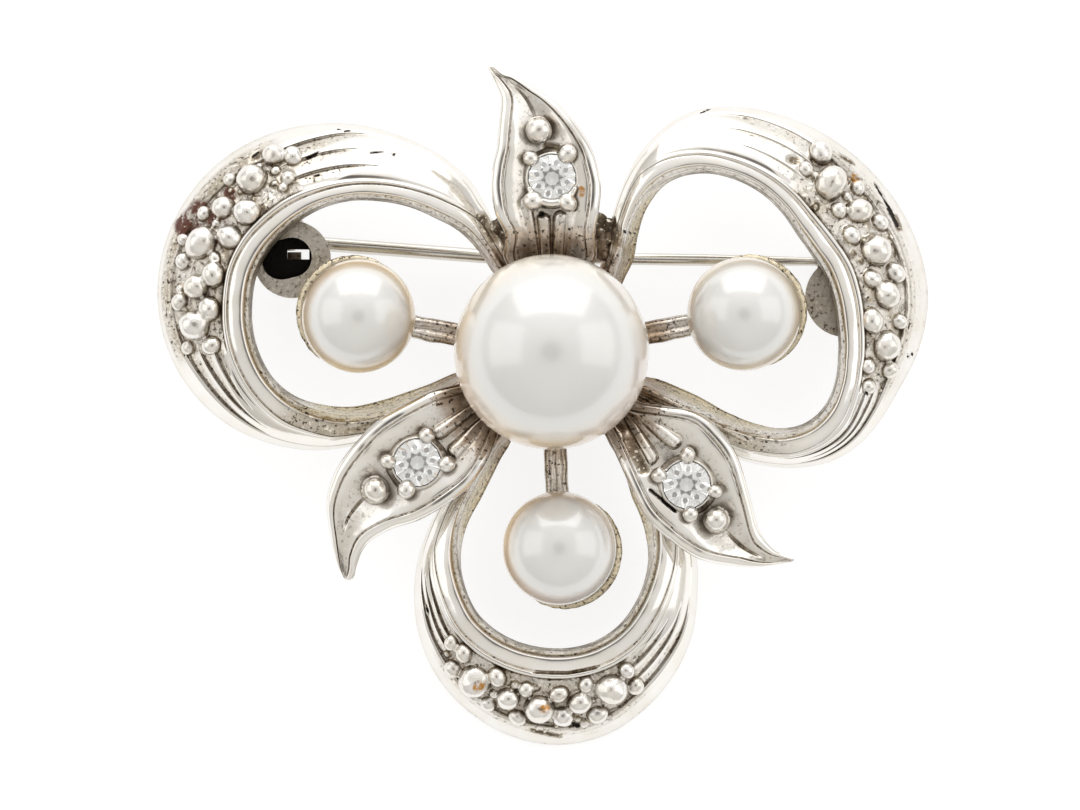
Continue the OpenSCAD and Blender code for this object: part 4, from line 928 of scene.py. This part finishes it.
# Colours that lie on the metal
# The next two colours are tarnish together with painted shade: brown, and nearly black where strongest
TARNISH_AND_SHADE = (0.42, 0.355, 0.265, 1)
BLACK_SHADE_AND_GRIME = (0.10, 0.075, 0.05, 1)
PALE_GRAIN = (0.90, 0.86, 0.76, 1)
GOLDEN = (0.70, 0.60, 0.40, 1)
EARTHY = (0.30, 0.215, 0.145, 1)
FLECK = (0.07, 0.055, 0.04, 1)
STAIN = (0.105, 0.035, 0.025, 1)
SPOT = (0.50, 0.23, 0.03, 1)
# Dirt together with painted shade in crevices
CREVICE_DIRT_AND_SHADE = (0.125, 0.088, 0.055, 1)
PIT = (0.035, 0.03, 0.025, 1)
# Painted shade: nearly black inside the hinge's hollow
HINGE_SHADE = (0.012, 0.011, 0.010, 1)
# How far the dirt and painted shade reach out of a crevice, in metres, and how worn the findings are
CREVICE = 0.0006
WORN_FINDING = 0.6


def metal_shader(name, tone=(0.88, 0.865, 0.84), smooth=0.08, crevice_dirt_and_shade_strength=1.0, fixed_rough=None, open_at=0.80,
                 painted_shade_at=None):
    """White gold: polished, with fine casting marks, brown dirt with painted shade in its hollows, tarnish
    with painted shade, stains and pits.
    """
    s = Shader(name)
    where = s.node("ShaderNodeTexCoord").outputs["Object"]
    rough = s.mark("rough") if fixed_rough is None else fixed_rough
    worn_and_shaded = s.mark("tarnish_and_shade") if fixed_rough is None else WORN_FINDING * fixed_rough
    coarse = s.noise(where, 900, 5.0, 0.65)
    fine = s.noise(where, 5200, 4.0, 0.7)
    # Dirt together with painted shade: the colour turns dark brown in crevices, found by ambient occlusion
    cavity = s.node("ShaderNodeAmbientOcclusion", {"Distance": CREVICE}, samples=4).outputs["AO"]
    hollow = s.ramp(cavity, open_at, open_at - 0.55)
    crevice_dirt_and_shade = s.times(s.times(hollow, s.ramp(coarse, 0.35, 0.65, 0.55, 1.0)), crevice_dirt_and_shade_strength)
    clean = s.mix(s.ramp(coarse, 0.3, 0.75), tone + (1,), (tone[0] * 0.95, tone[1] * 0.92, tone[2] * 0.86, 1))
    # Tarnish and painted shade from the points' marks: brown, then nearly black where the mark is strongest
    dull_and_shade = s.times(worn_and_shaded, s.ramp(coarse, 0.30, 0.65, 0.45, 1.0))
    colour = s.mix(dull_and_shade, clean, TARNISH_AND_SHADE)
    colour = s.mix(s.ramp(dull_and_shade, 0.9, 1.6), colour, BLACK_SHADE_AND_GRIME)
    gritty = s.ramp(s.most(dull_and_shade, s.mark("root")), 0.1, 0.5)
    specks = s.noise(where, 7000, 2.0, 0.6)
    colour = s.mix(s.times(s.ramp(specks, 0.40, 0.33), gritty), colour, PALE_GRAIN)
    golden = s.times(s.ramp(rough, 0.82, 1.0), s.ramp(fine, 0.35, 0.6, 0.35, 0.9))
    colour = s.mix(golden, colour, GOLDEN)
    earthy = s.times(s.mark("root"), s.ramp(coarse, 0.30, 0.62, 0.45, 1.0))
    colour = s.mix(earthy, colour, EARTHY)
    colour = s.mix(s.times(s.ramp(specks, 0.58, 0.65), gritty), colour, FLECK)
    patchy = s.times(s.ramp(coarse, 0.30, 0.55), s.ramp(fine, 0.34, 0.46))
    stain = s.ramp(s.times(s.mark("stain"), patchy), 0.10, 0.5, 0.0, 0.95)
    colour = s.mix(stain, colour, STAIN)
    spotted = s.ramp(s.times(s.mark("orange"), s.ramp(fine, 0.32, 0.60)), 0.10, 0.8, 0.0, 0.95)
    colour = s.mix(spotted, colour, SPOT)
    colour = s.mix(crevice_dirt_and_shade, colour, CREVICE_DIRT_AND_SHADE)
    ragged = s.ramp(s.noise(where, 3000, 3.0, 0.7), 0.3, 0.7, -0.45, 0.45)
    pit = s.ramp(s.plus(s.mark("pit"), ragged), 0.45, 0.7)
    pit = s.times(pit, s.ramp(s.mark("pit"), 0.05, 0.3))
    colour = s.mix(pit, colour, PIT)
    # Painted shade: nearly black within the given hollow
    if painted_shade_at:
        centre, reach, half_height = painted_shade_at
        away = s.vector("SUBTRACT", {0: where, 1: centre}, 0)
        up = s.vector("DOT_PRODUCT", {0: away, 1: normal}, "Value")
        level = s.math("LESS_THAN", s.math("ABSOLUTE", up), half_height)
        near = s.math("LESS_THAN", s.vector("LENGTH", {0: away}, "Value"), reach)
        colour = s.mix(s.times(near, level), colour, HINGE_SHADE)
    shine = s.plus(s.ramp(fine, 0.3, 0.8, smooth, smooth + 0.08), s.times(rough, 0.16))
    foul = s.most(s.most(crevice_dirt_and_shade, pit), s.times(stain, 0.5))
    foul = s.most(foul, s.ramp(dull_and_shade, 0.7, 1.4))
    marks = s.times(s.noise(where, 2600, 3.0, 0.6), rough)
    grains = s.times(s.noise(where, 6500, 2.0, 0.6), s.ramp(rough, 0.5, 0.9))
    height = s.plus(s.times(marks, 0.8), s.times(fine, 0.04))
    height = s.plus(height, s.times(grains, 0.9))
    height = s.plus(height, s.times(s.noise(where, 500, 2.0, 0.5), 0.5))
    height = s.math("SUBTRACT", height, pit)
    bump = s.node("ShaderNodeBump", {"Strength": 0.5, "Distance": 0.00006, "Height": height})
    return s.made({
        "Base Color": colour, "Metallic": 1.0, "Roughness": s.plus(shine, s.times(foul, 0.35)),
        "Normal": bump.outputs[0]})


def pearl_shader(name, tone):
    """Pearl: milky and glossy, with a painted warm reflection towards its sides."""
    s = Shader(name)
    where = s.node("ShaderNodeTexCoord").outputs["Object"]
    cloud = s.noise(where, 420, 3.0, 0.5)
    rosy = s.ramp(s.noise(where, 160, 1.0, 0.5), 0.35, 0.65)
    # Painted reflection: warm beige and pink towards the sides
    rim = s.mix(rosy, (0.82, 0.62, 0.36, 1), (0.84, 0.60, 0.50, 1))
    base = s.mix(s.ramp(s.mark("side_reflection"), 0.0, 1.0, 0.0, 0.9), tone, rim)
    base = s.mix(s.ramp(cloud, 0.35, 0.8, 0.0, 0.2), base, (0.82, 0.80, 0.80, 1))
    return s.made({
        "Base Color": base, "Metallic": 0.19, "Roughness": 0.22, "IOR": 1.6,
        "Subsurface Weight": 0.25, "Subsurface Radius": (1.0, 0.9, 0.8), "Subsurface Scale": 0.0006,
        "Coat Weight": 0.85, "Coat IOR": 1.6, "Coat Roughness": 0.10})


# The hinge's hollow, painted nearly black as shade: its middle, how far it reaches, and half its height
HINGE_HOLLOW = (PLACE @ Vector((-9.55, 3.40, 0.12)), 0.98 * MM, 0.33 * MM)
white_gold = metal_shader("white_gold_metal")
finding_gold = metal_shader("finding_metal", (0.82, 0.78, 0.72), smooth=0.16, fixed_rough=0.8, open_at=0.85,
                            painted_shade_at=HINGE_HOLLOW)
pin_metal = metal_shader("pin_metal", (0.74, 0.72, 0.68), smooth=0.14, crevice_dirt_and_shade_strength=0.6, fixed_rough=0.15)
nacre = pearl_shader("pearl_nacre", (0.74, 0.735, 0.71, 1))
stone_glass = Shader("cut_stone_glass").made({
    "Base Color": (0.985, 0.985, 0.97, 1), "Roughness": 0.0, "IOR": 2.1, "Transmission Weight": 1.0})
stone_back = Shader("cut_stone_back").made({
    "Base Color": (0.96, 0.965, 0.97, 1), "Metallic": 1.0, "Roughness": 0.04})
for piece in metal_pieces:
    piece.data.materials.append(white_gold)
for piece in pearl_pieces:
    piece.data.materials.append(nacre)
for piece in stone_pieces:
    piece.data.materials.append(stone_glass)
    piece.data.materials.append(stone_back)
for node, material in (("hinge_bracket", finding_gold), ("catch", finding_gold), ("hinge_rivet", pin_metal),
                       ("pin_stem", pin_metal)):
    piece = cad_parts[node]
    piece.data.materials.clear()
    piece.data.materials.append(material)

# Floor
floor_mesh = bpy.data.meshes.new("floor")
floor_mesh.from_pydata([(-0.6, -0.6, 0), (0.6, -0.6, 0), (0.6, 0.6, 0), (-0.6, 0.6, 0)], [], [(0, 1, 2, 3)])
floor = bpy.data.objects.new("floor", floor_mesh)
bpy.context.scene.collection.objects.link(floor)
floor_mesh.materials.append(Shader("pale_floor").made({
    "Base Color": (0.30, 0.30, 0.30, 1), "Roughness": 0.9,
    "Emission Color": (1, 1, 1, 1), "Emission Strength": 0.80}))

# Soft lights that shine on the brooch: the direction that each comes from, width and height, and power
LIGHT_AWAY = 0.5
LIGHTS = {
    "light_top": ((0.0, 1.0, 0.45), (0.70, 0.45), 1.1),
    "light_left": ((-0.9, 0.1, 0.60), (0.40, 0.40), 0.25),
    "light_right": ((0.9, 0.1, 0.60), (0.40, 0.40), 0.25),
}
for name, (way, size, power) in LIGHTS.items():
    data = bpy.data.lights.new(name, "AREA")
    data.shape = "RECTANGLE"
    data.size, data.size_y = size
    data.energy = power
    lamp = bpy.data.objects.new(name, data)
    way = Vector(way).normalized()
    lamp.location = way * LIGHT_AWAY
    lamp.rotation_mode = "QUATERNION"
    lamp.rotation_quaternion = way.to_track_quat("Z", "Y")
    bpy.context.scene.collection.objects.link(lamp)

# The studio round it: pale, with a dark spot straight above, which the pearls show
world = bpy.data.worlds.new("studio")
bpy.context.scene.world = world
world.use_nodes = True
studio = Nodes(world.node_tree)
around = studio.node("ShaderNodeTexCoord").outputs["Generated"]


def toward(way, stops):
    """A colour ramp over how closely a direction points the given way, from 0 straight away to 1."""
    dot = studio.vector("DOT_PRODUCT", {0: around, 1: way}, "Value")
    ramp = studio.node("ShaderNodeValToRGB", {0: studio.ramp(dot, -1, 1)})
    elements = ramp.color_ramp.elements
    elements[0].color = stops[0][1] + (1,)
    elements[1].color = stops[-1][1] + (1,)
    for at, shade in stops[1:-1]:
        elements.new(at).color = shade + (1,)
    return ramp.outputs[0]


rings = toward(normal, [
    (0.0, (0.70, 0.68, 0.65)), (0.50, (0.78, 0.76, 0.73)), (0.62, (0.92, 0.91, 0.89)),
    (0.78, (1.0, 1.0, 0.99)), (0.88, (1.0, 0.99, 0.98)), (0.955, (0.88, 0.865, 0.84)),
    (0.984, (0.76, 0.74, 0.71)), (0.991, (0.30, 0.285, 0.27)), (1.0, (0.13, 0.12, 0.115))])
sides = toward(Vector((0.20, 0.80, 0.55)).normalized(), [
    (0.0, (0.72, 0.70, 0.68)), (0.45, (0.86, 0.85, 0.83)), (0.8, (1.0, 1.0, 1.0)), (1.0, (1.10, 1.10, 1.11))])
flanks = toward((1, 0, 0), [
    (0.0, (1.0, 1.0, 1.0)), (0.07, (0.78, 0.78, 0.79)), (0.2, (0.84, 0.84, 0.84)), (0.5, (1.0, 1.0, 1.0)),
    (0.8, (0.84, 0.84, 0.84)), (0.93, (0.78, 0.78, 0.79)), (1.0, (1.0, 1.0, 1.0))])
light = studio.mix(1.0, studio.mix(1.0, rings, sides, "MULTIPLY"), flanks, "MULTIPLY")
studio.fill(world.node_tree.nodes["Background"], {"Color": light, "Strength": 1.08})

# The camera looks straight onto the flower from AWAY metres, at the middle of the photograph's frame
AWAY = 0.40
SENSOR = 36
target = PLACE @ Vector((-0.4128, -1.9024, 4.0))
camera_data = bpy.data.cameras.new("camera")
camera_data.sensor_width = SENSOR
camera_data.lens = SENSOR * AWAY / (PHOTO_WIDTH / PIXELS_PER_MM * MM)
camera_data.clip_start = 0.01
camera_data.clip_end = 5
camera = bpy.data.objects.new("camera", camera_data)
camera.matrix_world = Matrix.Translation(target + normal * AWAY) @ Matrix.Rotation(TILT, 4, "X")
bpy.context.scene.collection.objects.link(camera)
bpy.context.scene.camera = camera

scene = bpy.context.scene
scene.view_settings.view_transform = "Standard"
scene.view_settings.look = "None"
scene.cycles.max_bounces = 12
scene.cycles.diffuse_bounces = 3
scene.cycles.glossy_bounces = 8
